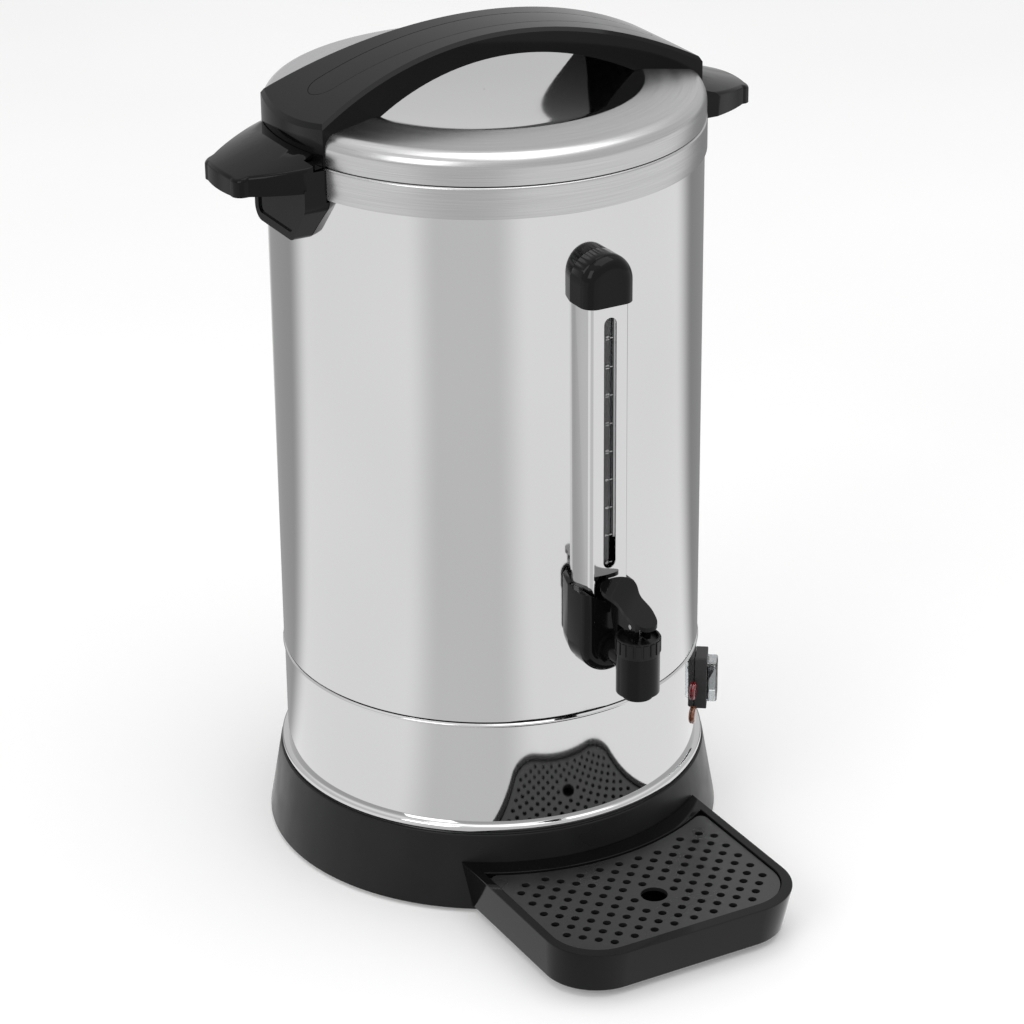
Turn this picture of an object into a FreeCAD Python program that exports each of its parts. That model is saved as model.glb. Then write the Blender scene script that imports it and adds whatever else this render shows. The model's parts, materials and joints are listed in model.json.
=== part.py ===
import FreeCAD, Part
import math
import os

os.makedirs("parts", exist_ok=True)

V = FreeCAD.Vector

# Frame: the urn stands on the plane z = 0, its axis is +Z, the tap faces -Y
# and the carrying handles lie along +X and -X. All sizes are millimetres.

# Stack of the body, from the table upwards
foot_proud = 2.0
skirt_height = 49.0
band_height = 77.5
shell_height = 330.2
collar_height = 19.6

skirt_bottom_z = foot_proud
skirt_top_z = skirt_bottom_z + skirt_height
band_top_z = skirt_top_z + band_height
collar_bottom_z = band_top_z + shell_height
collar_top_z = collar_bottom_z + collar_height

# Radii of the body
shell_radius = 135.0
collar_proud = 1.5
collar_radius = shell_radius + collar_proud
band_step = 0.5
band_radius = shell_radius - band_step
band_rim_proud = 4.2
band_rim_radius = band_radius + band_rim_proud
skirt_top_proud = 5.0
skirt_top_radius = band_radius + skirt_top_proud
skirt_flare = 8.6
skirt_bottom_radius = skirt_top_radius + skirt_flare
tank_gap = 4.5
tank_inner_radius = shell_radius - tank_gap

# Sheet and moulding walls
sheet = 0.8
collar_sheet = 1.2
skirt_wall = 3.0
plate_sheet = 1.2

# Fits
slide_gap = 0.3
snug_gap = 0.1
shaft_gap = 0.08

# Length of the tools that cut right through a wall
beyond = 60.0

# Body details
bead_radius = 1.1
band_rim_height = 6.0
ledge_width = 12.5
ledge_inner_radius = band_radius - ledge_width
skirt_deck_width = 8.5
skirt_deck_inner_radius = band_radius - skirt_deck_width
skirt_deck_thick = 3.0
bottom_plate_rise = 5.0
bottom_plate_z = skirt_bottom_z + bottom_plate_rise
bottom_plate_inset = 1.5
bottom_plate_radius = skirt_top_radius - bottom_plate_inset
foot_radius = 9.0
foot_inset = 12.0
foot_circle = bottom_plate_radius - foot_inset
foot_count = 4
rod_radius = 2.5
rod_inset = 26.0
rod_circle = bottom_plate_radius - rod_inset
rod_count = 3
rod_first_angle = 30.0
nut_height = 4.0
nut_across = 8.0
vent_count = 8
vent_circle = 60.0
vent_radius = 5.0

# Lid
lid_gap = 0.3
lid_step = 0.5
lid_radius = collar_radius - lid_step
lid_wall_height = 9.7
lid_wall_top_z = collar_top_z + lid_wall_height
lid_shoulder_width = 9.0
lid_shoulder_radius = lid_radius - lid_shoulder_width
lid_shoulder_rise = 10.0
lid_shoulder_z = lid_wall_top_z + lid_shoulder_rise
lid_ring_width = 29.0
lid_crease_radius = lid_shoulder_radius - lid_ring_width
lid_ring_rise = 3.0
lid_crease_z = lid_shoulder_z + lid_ring_rise
lid_dish_depth = 7.0
lid_hem_inset = 3.0
lid_hem_radius = tank_inner_radius - lid_hem_inset
seal_wall = 3.0
seal_depth = 7.0

# Lid handle
arch_rise = 38.5
arch_crown_z = lid_shoulder_z + arch_rise
arch_radius = 280.0
arch_mid_half_width = 25.0
arch_end_half_width = 42.0
arch_end_proud = 1.2
arch_end_radius = lid_radius + arch_end_proud
arch_chamfer = 2.2
arch_gap_half_span = 90.0
arch_gap_rise = 24.0
arch_gap_crown_z = lid_shoulder_z + arch_gap_rise
inlay_half_length = 118.0
inlay_half_width = 11.0
inlay_depth = 2.0
lid_screw_radius = 2.0
lid_screw_head_radius = 4.0
lid_screw_x = 110.0
lid_screw_y = 16.0
lid_screw_length = 9.0

# Bayonet tongues of the lid under the lips of the carrying handles
tongue_start_deg = 14.6
tongue_end_deg = 17.6
tongue_length = 6.4
tongue_reach = arch_end_radius + tongue_length
tongue_thick = 3.0
notch_closed_deg = 1.6
notch_clear = 0.8

# Carrying handles
grip_lip_inner_radius = arch_end_radius + 0.5
grip_lip_width = 6.3
grip_lip_outer_radius = grip_lip_inner_radius + grip_lip_width
grip_lip_thick = 2.6
grip_lip_rise = 7.1
grip_lip_top_z = collar_top_z + grip_lip_rise
grip_notch_drop = 0.7
grip_notch_bottom_z = collar_top_z - grip_notch_drop
grip_flange_proud = 9.0
grip_flange_face_x = shell_radius + grip_flange_proud
grip_half_width = 43.0
grip_flange_drop = 48.3
grip_flange_bottom_z = collar_top_z - grip_flange_drop
grip_flange_near_half = 27.0
grip_flange_bottom_half = 25.0
grip_flange_shoulder = 24.0
grip_flange_corner = 9.0
grip_wing_drop = 13.3
grip_wing_root_z = collar_top_z - grip_wing_drop
grip_reach = 45.5
grip_tip_x = shell_radius + grip_reach
grip_tip_half_width = 25.0
grip_tip_corner = 9.0
grip_tip_z = grip_wing_root_z - 3.0
grip_crown_rise = 9.0
grip_crown_root_z = collar_top_z + grip_crown_rise
grip_crown_fall = 13.0
grip_crown_tip_z = grip_crown_root_z - grip_crown_fall
grip_rim_round = 3.0
grip_crown_drop = 8.0
grip_panel_depth = 1.2
grip_panel_border = 5.0
grip_screw_deg = 9.0
grip_screw_rise = 15.0
grip_screw_z = grip_flange_bottom_z + grip_screw_rise
grip_screw_radius = 2.5
grip_screw_head_radius = 4.5
grip_screw_head = 2.0
grip_screw_length = 8.0

# Tap shank, which the gauge stands on
shank_rise = 52.5
shank_z = band_top_z + shank_rise
shank_radius = 8.0
shank_bore = 5.0
shank_tail = 14.5
shank_inner_end_y = -tank_inner_radius + shank_tail

# Sight gauge
cover_half_width = 15.6
cover_front_half = 13.0
cover_proud = 16.5
cover_front_radius = shell_radius + cover_proud
cover_corner = 4.0
cover_bottom_z = shank_z + shank_radius + 1.0
cover_height = 221.2
cover_top_z = cover_bottom_z + cover_height
slot_half_width = 4.3
slot_low = 43.0
slot_bottom_z = cover_bottom_z + slot_low
slot_length = 163.0
slot_top_z = slot_bottom_z + slot_length
glass_radius = 5.5
glass_wall = 1.0
glass_proud = 8.4
glass_axis_y = -shell_radius - glass_proud
glass_above_cover = 8.8
glass_top_z = cover_top_z + glass_above_cover
scale_wall = 0.8
cap_half_width = 17.3
cap_proud = 19.0
cap_front_radius = shell_radius + cap_proud
cap_overlap = 7.7
cap_bottom_z = cover_top_z - cap_overlap
cap_height = 30.7
cap_top_z = cap_bottom_z + cap_height
cap_round = 8.5
cap_screw_radius = 2.0
cap_screw_drop = 6.0
shroud_half_width = 19.0
shroud_proud = 19.5
shroud_front_radius = shell_radius + shroud_proud
shroud_above = 38.0
shroud_top_z = shank_z + shroud_above
shroud_dip = 7.0
shroud_dip_z = shroud_top_z - shroud_dip
shroud_below = 18.0
shroud_bottom_z = shank_z - shroud_below
shroud_round = 6.5

# Tap
tap_reach = 50.5
tap_axis_y = -shell_radius - tap_reach
branch_radius = 7.0
branch_rise = 23.0
branch_top_z = shank_z + branch_rise
glass_seat_depth = 8.0
barrel_radius = 13.4
barrel_below = 15.8
barrel_bottom_z = shank_z - barrel_below
barrel_above = 10.0
barrel_top_z = shank_z + barrel_above
barrel_bore = 9.5
seat_drop = 6.5
seat_z = shank_z - seat_drop
outlet_bore = 5.5
nozzle_radius = 9.3
nozzle_length = 3.9
nozzle_bottom_z = barrel_bottom_z - nozzle_length
neck_radius = 11.4
neck_height = 5.0
bonnet_radius = 14.1
bonnet_height = 11.0
bonnet_rim_wall = 1.7
bonnet_rim_depth = 2.6
rib_count = 18
rib_proud = 0.6
rib_deg = 13.0
stem_radius = 2.4
blade_half_thick = 2.2
pin_above_bonnet = 7.0
pin_z = barrel_top_z + bonnet_height + pin_above_bonnet
pin_radius = 1.5
eye_wall = 1.7
cup_radius = 8.0
cup_height = 7.0
lever_tilt_deg = 16.4
lever_plate_thick = 2.8
lever_top_over_pin = 9.2
lever_cheek = 2.9
tap_nut_across = 24.0
tap_nut_thick = 5.0
washer_radius = 12.0
washer_thick = 2.5
washer_outer_thick = 1.3
flange_radius = 10.5
flange_thick = 4.7
flange_back_y = -shell_radius - washer_outer_thick
flange_front_y = flange_back_y - flange_thick
spring_radius = 6.0
spring_wire = 0.9
spring_turns = 4.0

# Rocker switch and lamps on the lower band
switch_deg = 55.0
switch_rise = 45.0
switch_z = skirt_top_z + switch_rise
plinth_half_width = 9.5
plinth_height = 37.0
plinth_proud = 7.7
plinth_face_radius = band_radius + plinth_proud
switch_half_width = 6.4
switch_height = 21.6
switch_depth = 24.2
switch_back_radius = plinth_face_radius - switch_depth
bezel_border = 1.1
bezel_thick = 1.0
rocker_half_width = 5.0
rocker_height = 17.0
rocker_sink = 1.6
rocker_pivot_radius = plinth_face_radius - rocker_sink
axle_radius = 1.5
dome_proud = 6.6
dome_face_radius = plinth_face_radius + dome_proud
dome_wall = 0.7
dome_half_width = 8.4
dome_height = 27.2
lamp_deg = 48.2
lamp_red_z = skirt_top_z + 43.0
lamp_amber_z = skirt_top_z + 25.5
lamp_lens_radius = 5.8
lamp_stem_radius = 4.8
lamp_proud = 2.2
lamp_tail = 16.5
clip_radius = 7.0
clip_thick = 3.0

# Mains inlet at the back of the lower band
inlet_rise = 33.0
inlet_z = skirt_top_z + inlet_rise
inlet_opening_half = 13.7
inlet_opening_height = 20.0
inlet_flange_half = 25.0
inlet_flange_height = 27.0
inlet_flange_thick = 3.0
inlet_screw_half_spacing = 20.0
inlet_screw_radius = 1.75
inlet_proud = 6.5
inlet_face_y = band_radius + inlet_proud
inlet_depth = 26.0
inlet_socket_depth = 17.0

# Heater under the tank
spreader_radius = 70.0
spreader_thick = 6.0
element_ring_radius = 50.0
element_tube_radius = 4.2
element_gap_deg = 30.0
element_leg = 26.0
element_pin = 10.0
clamp_radius = 62.0
clamp_thick = 2.0
clamp_bolt_radius = 4.0
thermostat_radius = 9.0
thermostat_height = 12.0
thermostat_circle = 92.0
keep_warm_deg = 150.0
boil_deg = 210.0
cutout_deg = 330.0
reset_radius = 2.2
reset_proud = 3.0
reset_travel = 1.5

# Drip tray and grille
tray_top_z = 33.5
tray_bottom_z = 5.0
tray_half_width = 85.5
tray_base_half = 82.5
tray_reach = 110.4
tray_front_y = -skirt_bottom_radius - tray_reach
tray_front_lean = 6.5
tray_base_front_y = tray_front_y + tray_front_lean
tray_corner = 37.0
tray_skirt_gap = 0.4
tray_rim = 6.0
tray_front_rim = 8.0
grille_drop = 1.4
grille_thick = 2.6
grille_gap = 0.4
grille_corner = 31.0
grille_back_gap = 7.9
grille_back_radius = skirt_bottom_radius + grille_back_gap
tray_ledge = 3.0
tray_floor_thick = 2.5
hole_pitch = 14.1
hole_radius = 2.6
drain_radius = 8.4
drain_from_front = 51.5
drain_y = tray_front_y + drain_from_front
tray_tab_half = 8.0
tray_tab_x = 50.0
tray_tab_depth = 7.0
tray_tab_z = 20.0
tray_tab_thick = 4.0


def save(name, shape):
    """Write one sub-part to its own file."""
    if isinstance(shape, list):
        shape = Part.makeCompound(shape)
    shape.exportStep("parts/" + name + ".step")


def disc(radius, low, high, x=0.0, y=0.0):
    """Upright cylinder between two heights."""
    return Part.makeCylinder(radius, high - low, V(x, y, low))


def ring(outer, inner, low, high, x=0.0, y=0.0):
    """Upright tube between two heights."""
    return disc(outer, low, high, x, y).cut(disc(inner, low - 1, high + 1, x, y))


def box(x0, x1, y0, y1, z0, z1):
    """Box from its two corners."""
    return Part.makeBox(x1 - x0, y1 - y0, z1 - z0, V(x0, y0, z0))


def rod_y(radius, y0, y1, x, z):
    """Cylinder along Y."""
    return Part.makeCylinder(radius, y1 - y0, V(x, y0, z), V(0, 1, 0))


def rod_x(radius, x0, x1, y, z):
    """Cylinder along X."""
    return Part.makeCylinder(radius, x1 - x0, V(x0, y, z), V(1, 0, 0))


def face_of(points, plane="xy", level=0.0):
    """Flat face through points given in one of the three main planes."""
    place = {
        "xy": lambda a, b: V(a, b, level),
        "xz": lambda a, b: V(a, level, b),
        "yz": lambda a, b: V(level, a, b),
    }[plane]
    corners = [place(a, b) for a, b in points]
    return Part.Face(Part.makePolygon(corners + [corners[0]]))


def prism(points, plane, low, high):
    """Extrude a polygon from one level to another, square to its plane."""
    way = {"xy": V(0, 0, 1), "xz": V(0, 1, 0), "yz": V(1, 0, 0)}[plane]
    return face_of(points, plane, low).extrude(way * (high - low))


def turned(points):
    """Revolve a closed (radius, height) outline about the urn's axis."""
    return face_of(points, "xz").revolve(V(0, 0, 0), V(0, 0, 1), 360)


def spun(shape, degrees):
    """Copy of a shape turned about the urn's axis."""
    copy = shape.copy()
    copy.rotate(V(0, 0, 0), V(0, 0, 1), degrees)
    return copy


def around(shape, count, first=0.0):
    """Equal copies of a shape about the urn's axis."""
    return [spun(shape, first + i * 360.0 / count) for i in range(count)]


def hexagon(across, low, high, x=0.0, y=0.0):
    """Upright hexagonal prism, given its width across the flats."""
    reach = across / math.sqrt(3)
    points = [(x + reach * math.cos(math.radians(60 * i)), y + reach * math.sin(math.radians(60 * i)))
              for i in range(6)]
    return prism(points, "xy", low, high)


def fuse_all(shapes):
    """One solid from several that touch or overlap."""
    whole = shapes[0].multiFuse(shapes[1:])
    return whole.removeSplitter()


def rounded(shape, radius, chooser):
    """Fillet the edges whose middle point the chooser accepts."""
    edges = [e for e in shape.Edges if chooser(e.valueAt((e.FirstParameter + e.LastParameter) / 2.0))]
    return shape.makeFillet(radius, edges)


def sector(outer, inner, low, high, start_deg, end_deg, centre_deg):
    """Part of a ring between two angles, measured from a centre direction."""
    tube = ring(outer, inner, low, high)
    reach = outer * 2
    first = math.radians(centre_deg + start_deg)
    last = math.radians(centre_deg + end_deg)
    wedge = prism([(0, 0),
                   (reach * math.cos(first), reach * math.sin(first)),
                   (reach * math.cos(last), reach * math.sin(last))], "xy", low - 1, high + 1)
    return tube.common(wedge)


def skirt_radius_at(z):
    """Outer radius of the flared skirt at a height."""
    share = (z - skirt_bottom_z) / skirt_height
    return skirt_bottom_radius + (skirt_top_radius - skirt_bottom_radius) * share


def lid_outer_points():
    """Outer line of the lid, from its hem to the middle of the dish."""
    points = [(lid_radius, collar_top_z + lid_gap), (lid_radius, lid_wall_top_z)]
    rise = lid_shoulder_z - lid_wall_top_z
    run = lid_radius - lid_shoulder_radius
    for i in range(1, 7):
        angle = math.radians(15.0 * i)
        points.append((lid_shoulder_radius + run * math.cos(angle), lid_wall_top_z + rise * math.sin(angle)))
    points.append((lid_crease_radius, lid_crease_z))
    for i in range(1, 7):
        share = 1.0 - i / 6.0
        points.append((lid_crease_radius * share, lid_crease_z - lid_dish_depth * (1.0 - share * share)))
    return points


def lid_envelope():
    """Everything under the lid's outer surface, used to fit the handle to it."""
    points = lid_outer_points()
    return turned(points + [(0, collar_bottom_z), (lid_radius, collar_bottom_z)])


def band_clearance():
    """The lower band's outer wall, grown by a snug gap."""
    return disc(band_radius + snug_gap, skirt_top_z - beyond, band_top_z + beyond)


def switch_place(shape):
    """Turn a shape modelled at the front round to the switch."""
    return spun(shape, switch_deg)


def lamp_place(shape):
    """Turn a shape modelled at the front round to the lamps."""
    return spun(shape, lamp_deg)


def switch_passage(gap):
    """Rectangular way through the plinth and the band for the switch."""
    half = switch_half_width + gap
    tall = switch_height / 2 + gap
    return box(-half, half, -plinth_face_radius - beyond, -switch_back_radius, switch_z - tall, switch_z + tall)


def shank_hole():
    """Way for the tap's shank through every wall it crosses."""
    return rod_y(shank_radius + snug_gap, tap_axis_y, -tank_inner_radius + beyond, 0, shank_z)


def grip_screw_axis(side, sign):
    """Angle about the urn's axis of one carrying-handle screw."""
    centre = 0.0 if side > 0 else 180.0
    return centre + sign * grip_screw_deg


def grip_screw_holes(radius, start, end):
    """Radial holes for all four carrying-handle screws."""
    hole = Part.makeCylinder(radius, end - start, V(start, 0, grip_screw_z), V(1, 0, 0))
    return [spun(hole, grip_screw_axis(side, sign)) for side in (-1, 1) for sign in (-1, 1)]


def make_outer_shell():
    top = collar_top_z - collar_sheet - sheet
    shell = ring(shell_radius, shell_radius - sheet, band_top_z, top)
    shell = shell.cut(shank_hole())
    shell = shell.cut(rod_y(cap_screw_radius + snug_gap, -cap_front_radius, -shell_radius + beyond, 0, cap_screw_z()))
    for hole in grip_screw_holes(grip_screw_radius + snug_gap, shell_radius - 5, shell_radius + 5):
        shell = shell.cut(hole)
    return shell


def make_top_collar():
    inner = shell_radius + slide_gap
    flange_low = collar_top_z - collar_sheet
    edge = 1.2
    return turned([(inner, collar_bottom_z), (collar_radius - 0.4, collar_bottom_z),
                   (collar_radius, collar_bottom_z + 0.4), (collar_radius, collar_top_z - edge),
                   (collar_radius - edge, collar_top_z), (tank_inner_radius + sheet, collar_top_z),
                   (tank_inner_radius + sheet, flange_low), (inner, flange_low)])


def make_inner_tank():
    outer = tank_inner_radius + sheet
    top = collar_top_z - collar_sheet
    corner = 6.0
    arc_out = [(outer - corner + corner * math.sin(math.radians(a)),
                band_top_z + corner - corner * math.cos(math.radians(a))) for a in (0, 30, 60, 90)]
    small = corner - sheet
    arc_in = [(tank_inner_radius - small + small * math.sin(math.radians(a)),
               band_top_z + sheet + small - small * math.cos(math.radians(a))) for a in (90, 60, 30, 0)]
    outline = [(0, band_top_z)] + arc_out
    outline += [(outer, top - sheet), (shell_radius, top - sheet), (shell_radius, top),
                (tank_inner_radius, top)]
    outline += arc_in + [(0, band_top_z + sheet)]
    return turned(outline).cut(shank_hole())


def make_lower_band():
    inner = band_radius - sheet
    shelf = band_top_z - plate_sheet
    outline = [(inner, skirt_top_z), (band_rim_radius - 1.5, skirt_top_z)]
    for i in range(1, 6):
        angle = math.radians(-60 + 30 * i)
        half = band_rim_height / 2
        outline.append((band_rim_radius - half + half * math.cos(angle),
                        skirt_top_z + half + half * math.sin(angle)))
    outline += [(band_radius, skirt_top_z + band_rim_height), (band_radius, band_top_z - 2.6 * bead_radius)]
    for i in range(1, 4):
        angle = math.radians(-90 + 45 * i)
        outline.append((band_radius + bead_radius * math.cos(angle),
                        band_top_z - 1.4 * bead_radius + bead_radius * math.sin(angle)))
    outline += [(band_radius, band_top_z - 0.2), (band_radius, band_top_z),
                (ledge_inner_radius, band_top_z), (ledge_inner_radius, shelf), (inner, shelf)]
    band = turned(outline)
    band = band.cut(switch_place(switch_passage(snug_gap)))
    for z in (lamp_red_z, lamp_amber_z):
        hole = rod_y(lamp_stem_radius + snug_gap, -band_radius - beyond, -band_radius + beyond, 0, z)
        band = band.cut(lamp_place(hole))
    half = inlet_opening_half + snug_gap
    tall = inlet_opening_height / 2 + snug_gap
    band = band.cut(box(-half, half, band_radius - beyond, band_radius + beyond, inlet_z - tall, inlet_z + tall))
    for x in (-inlet_screw_half_spacing, inlet_screw_half_spacing):
        band = band.cut(inlet_screw_hole(x))
    return band


def make_base_skirt():
    deck_low = skirt_top_z - skirt_deck_thick
    outer = turned([(skirt_bottom_radius, skirt_bottom_z), (skirt_top_radius, skirt_top_z),
                    (skirt_deck_inner_radius, skirt_top_z), (skirt_deck_inner_radius, deck_low),
                    (skirt_top_radius - skirt_wall, deck_low),
                    (skirt_bottom_radius - skirt_wall, skirt_bottom_z)])
    ledge = ring(skirt_radius_at(bottom_plate_z + plate_sheet + 3) - skirt_wall / 2, bottom_plate_radius - 4,
                 bottom_plate_z + plate_sheet, bottom_plate_z + plate_sheet + 3)
    skirt = fuse_all([outer, ledge])
    low = tray_tab_z - snug_gap
    high = tray_tab_z + tray_tab_thick + slide_gap
    for x in (-tray_tab_x, tray_tab_x):
        half = tray_tab_half + slide_gap
        reach = math.sqrt(skirt_bottom_radius ** 2 - tray_tab_x ** 2)
        skirt = skirt.cut(box(x - half, x + half, -reach, -reach + 22, low, high))
    return skirt


def make_bottom_plate():
    plate = disc(bottom_plate_radius, bottom_plate_z, bottom_plate_z + plate_sheet)
    top = skirt_top_z
    cutters = around(disc(vent_radius, 0, top, vent_circle, 0), vent_count)
    cutters += around(disc(rod_radius + shaft_gap, 0, top, rod_circle, 0), rod_count, rod_first_angle)
    cutters += around(disc(foot_radius / 3 + shaft_gap, 0, top, foot_circle, 0), foot_count, 45)
    cutters.append(spun(disc(reset_radius + 0.8, 0, top, thermostat_circle, 0), cutout_deg))
    for cutter in cutters:
        plate = plate.cut(cutter)
    return plate


def make_rubber_feet():
    stem_top = bottom_plate_z + plate_sheet
    foot = turned([(0, 0), (foot_radius - 1, 0), (foot_radius, 1), (foot_radius, bottom_plate_z),
                   (foot_radius / 3, bottom_plate_z), (foot_radius / 3, stem_top),
                   (foot_radius / 2, stem_top), (foot_radius / 3, stem_top + 3), (0, stem_top + 3)])
    foot.translate(V(foot_circle, 0, 0))
    return around(foot, foot_count, 45)


def make_tie_rods():
    rod = disc(rod_radius, bottom_plate_z - nut_height - 0.8, band_top_z, rod_circle, 0)
    return around(rod, rod_count, rod_first_angle)


def make_tie_rod_nuts():
    top = bottom_plate_z
    nut = hexagon(nut_across, top - nut_height, top, rod_circle, 0)
    nut = nut.cut(disc(rod_radius, 0, skirt_top_z, rod_circle, 0))
    return around(nut, rod_count, rod_first_angle)


def make_lid_shell():
    outer = lid_outer_points()
    inner = [(max(r - sheet, 0.0) if z < lid_wall_top_z + 3 else r, z - sheet if r < lid_radius - 0.5 else z)
             for r, z in outer[1:]]
    inner[-1] = (0.0, outer[-1][1] - sheet)
    hem_low = collar_top_z + lid_gap
    hem = [(lid_radius - sheet, hem_low + sheet), (lid_hem_radius, hem_low + sheet), (lid_hem_radius, hem_low)]
    lid = turned(outer + inner[::-1] + hem)
    for hole in lid_screw_tools(lid_screw_radius + snug_gap, lid_shoulder_z - 12, lid_shoulder_z + 12):
        lid = lid.cut(hole)
    return lid


def lid_screw_tools(radius, low, high):
    """Upright cylinders on the four lid-handle screws."""
    return [disc(radius, low, high, sx * lid_screw_x, sy * lid_screw_y) for sx in (-1, 1) for sy in (-1, 1)]


def make_lid_seal():
    hem_low = collar_top_z + lid_gap
    inner = lid_hem_radius - seal_wall
    outer = tank_inner_radius - slide_gap
    return turned([(inner, hem_low - seal_depth), (outer - 1.5, hem_low - seal_depth), (outer, hem_low - 4),
                   (outer, hem_low - snug_gap), (lid_hem_radius - snug_gap, hem_low - snug_gap),
                   (lid_hem_radius - snug_gap, hem_low + sheet + snug_gap),
                   (lid_hem_radius + 1.6, hem_low + sheet + snug_gap),
                   (lid_hem_radius + 1.6, hem_low + sheet + 1.4), (inner, hem_low + sheet + 1.4)])


def arch_z(x):
    """Height of the lid handle's crown above a point on its length."""
    return arch_crown_z - arch_radius + math.sqrt(arch_radius ** 2 - x * x)


def make_lid_handle():
    reach = arch_end_radius + 5
    top = Part.Arc(V(-reach, 0, arch_z(reach)), V(0, 0, arch_crown_z), V(reach, 0, arch_z(reach))).toShape()
    low = collar_top_z + lid_gap + 0.2
    sides = Part.makePolygon([V(reach, 0, arch_z(reach)), V(reach, 0, low), V(-reach, 0, low),
                              V(-reach, 0, arch_z(reach))])
    side_face = Part.Face(Part.Wire([top] + sides.Edges))
    side_face.translate(V(0, -beyond, 0))
    arch = side_face.extrude(V(0, 2 * beyond, 0))
    end_x = math.sqrt(arch_end_radius ** 2 - arch_end_half_width ** 2)
    mid, end = arch_mid_half_width, arch_end_half_width
    near = Part.Arc(V(-end_x, -end, 0), V(0, -mid, 0), V(end_x, -end, 0)).toShape()
    far = Part.Arc(V(end_x, end, 0), V(0, mid, 0), V(-end_x, end, 0)).toShape()
    right = Part.Arc(V(end_x, -end, 0), V(arch_end_radius, 0, 0), V(end_x, end, 0)).toShape()
    left = Part.Arc(V(-end_x, end, 0), V(-arch_end_radius, 0, 0), V(-end_x, -end, 0)).toShape()
    plan = Part.Face(Part.Wire([near, right, far, left]))
    plan.translate(V(0, 0, low))
    body = arch.common(plan.extrude(V(0, 0, 2 * beyond)))
    top_edges = [e for e in body.Edges
                 if e.BoundBox.ZMin > arch_z(arch_end_radius) - 8 and e.BoundBox.ZMax > e.BoundBox.ZMin - 1]
    top_edges = [e for e in top_edges if e.BoundBox.ZMax - e.BoundBox.ZMin < 45
                 and e.BoundBox.ZMax >= arch_z(end_x) - 0.5]
    body = body.makeChamfer(arch_chamfer, top_edges)
    body = body.cut(lid_envelope())
    gap_end = lid_crease_z - 2.0
    span = arch_gap_half_span
    gap_arc = Part.Arc(V(-span, -beyond, gap_end), V(0, -beyond, arch_gap_crown_z), V(span, -beyond, gap_end))
    floor = Part.makePolygon([V(span, -beyond, gap_end), V(span, -beyond, gap_end - 30),
                              V(-span, -beyond, gap_end - 30), V(-span, -beyond, gap_end)])
    gap_tool = Part.Face(Part.Wire([gap_arc.toShape()] + floor.Edges)).extrude(V(0, 2 * beyond, 0))
    body = body.cut(gap_tool)
    body = body.cut(inlay_tool(inlay_depth, 0.0))
    for hole in lid_screw_tools(lid_screw_radius, lid_shoulder_z - 12, lid_screw_top() + 0.5):
        body = body.cut(hole)
    low_z = collar_top_z + lid_gap + 0.3
    tongue_root = lid_radius + 0.3
    for centre in (0.0, 180.0):
        tongue = sector(tongue_reach, tongue_root, low_z, low_z + tongue_thick,
                        tongue_start_deg, tongue_end_deg, centre)
        body = body.fuse(tongue)
    return body.removeSplitter()


def lid_screw_top():
    """Upper end of the screws that hold the lid handle."""
    return lid_shoulder_z + lid_screw_length


def inlay_tool(depth, shrink):
    """Long rounded strip let into the top of the lid handle."""
    half = inlay_half_width - shrink
    straight = inlay_half_length - inlay_half_width
    low, high = collar_top_z, arch_crown_z + beyond
    plan = fuse_all([box(-straight, straight, -half, half, low, high),
                     disc(half, low, high, -straight, 0), disc(half, low, high, straight, 0)])
    reach = inlay_half_length + 5
    lift = V(0, -40, -depth)
    sink = V(0, -40, 0)
    upper = Part.Arc(V(-reach, 0, arch_z(reach)) + sink, V(0, 0, arch_crown_z) + sink,
                     V(reach, 0, arch_z(reach)) + sink).toShape()
    lower = Part.Arc(V(reach, 0, arch_z(reach)) + lift, V(0, 0, arch_crown_z) + lift,
                     V(-reach, 0, arch_z(reach)) + lift).toShape()
    ends = [Part.makeLine(upper.Vertexes[-1].Point, lower.Vertexes[0].Point),
            Part.makeLine(lower.Vertexes[-1].Point, upper.Vertexes[0].Point)]
    band = Part.Face(Part.Wire([upper, ends[0], lower, ends[1]])).extrude(V(0, 80, 0))
    return plan.common(band)


def make_lid_handle_screws():
    screws = []
    for sx in (-1, 1):
        for sy in (-1, 1):
            x, y = sx * lid_screw_x, sy * lid_screw_y
            seat = lid_sheet_z(math.hypot(x, y)) - sheet - 0.6
            head = disc(lid_screw_head_radius, seat - 2.2, seat, x, y)
            screws.append(fuse_all([head, disc(lid_screw_radius, seat, lid_screw_top(), x, y)]))
    return screws


def lid_sheet_z(radius):
    """Height of the lid's sloping outer ring at a radius."""
    share = (radius - lid_crease_radius) / (lid_shoulder_radius - lid_crease_radius)
    return lid_crease_z + (lid_shoulder_z - lid_crease_z) * share


def shield(margin, low, high, top):
    """Flange outline with rounded lower corners, extruded along X, inset by a margin."""
    near = grip_flange_near_half - margin
    far = grip_half_width - margin
    foot = grip_flange_bottom_half - margin / 2
    bottom = grip_flange_bottom_z + margin
    shoulder = grip_flange_bottom_z + grip_flange_shoulder
    block = prism([(-near, bottom), (foot, bottom), (far, shoulder), (far, top), (-near, top)], "yz", low, high)
    soft = grip_flange_corner - margin
    return rounded(block, soft, lambda p: p.z < shoulder + 0.1 and abs(p.x - (low + high) / 2) < 0.1)


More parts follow.
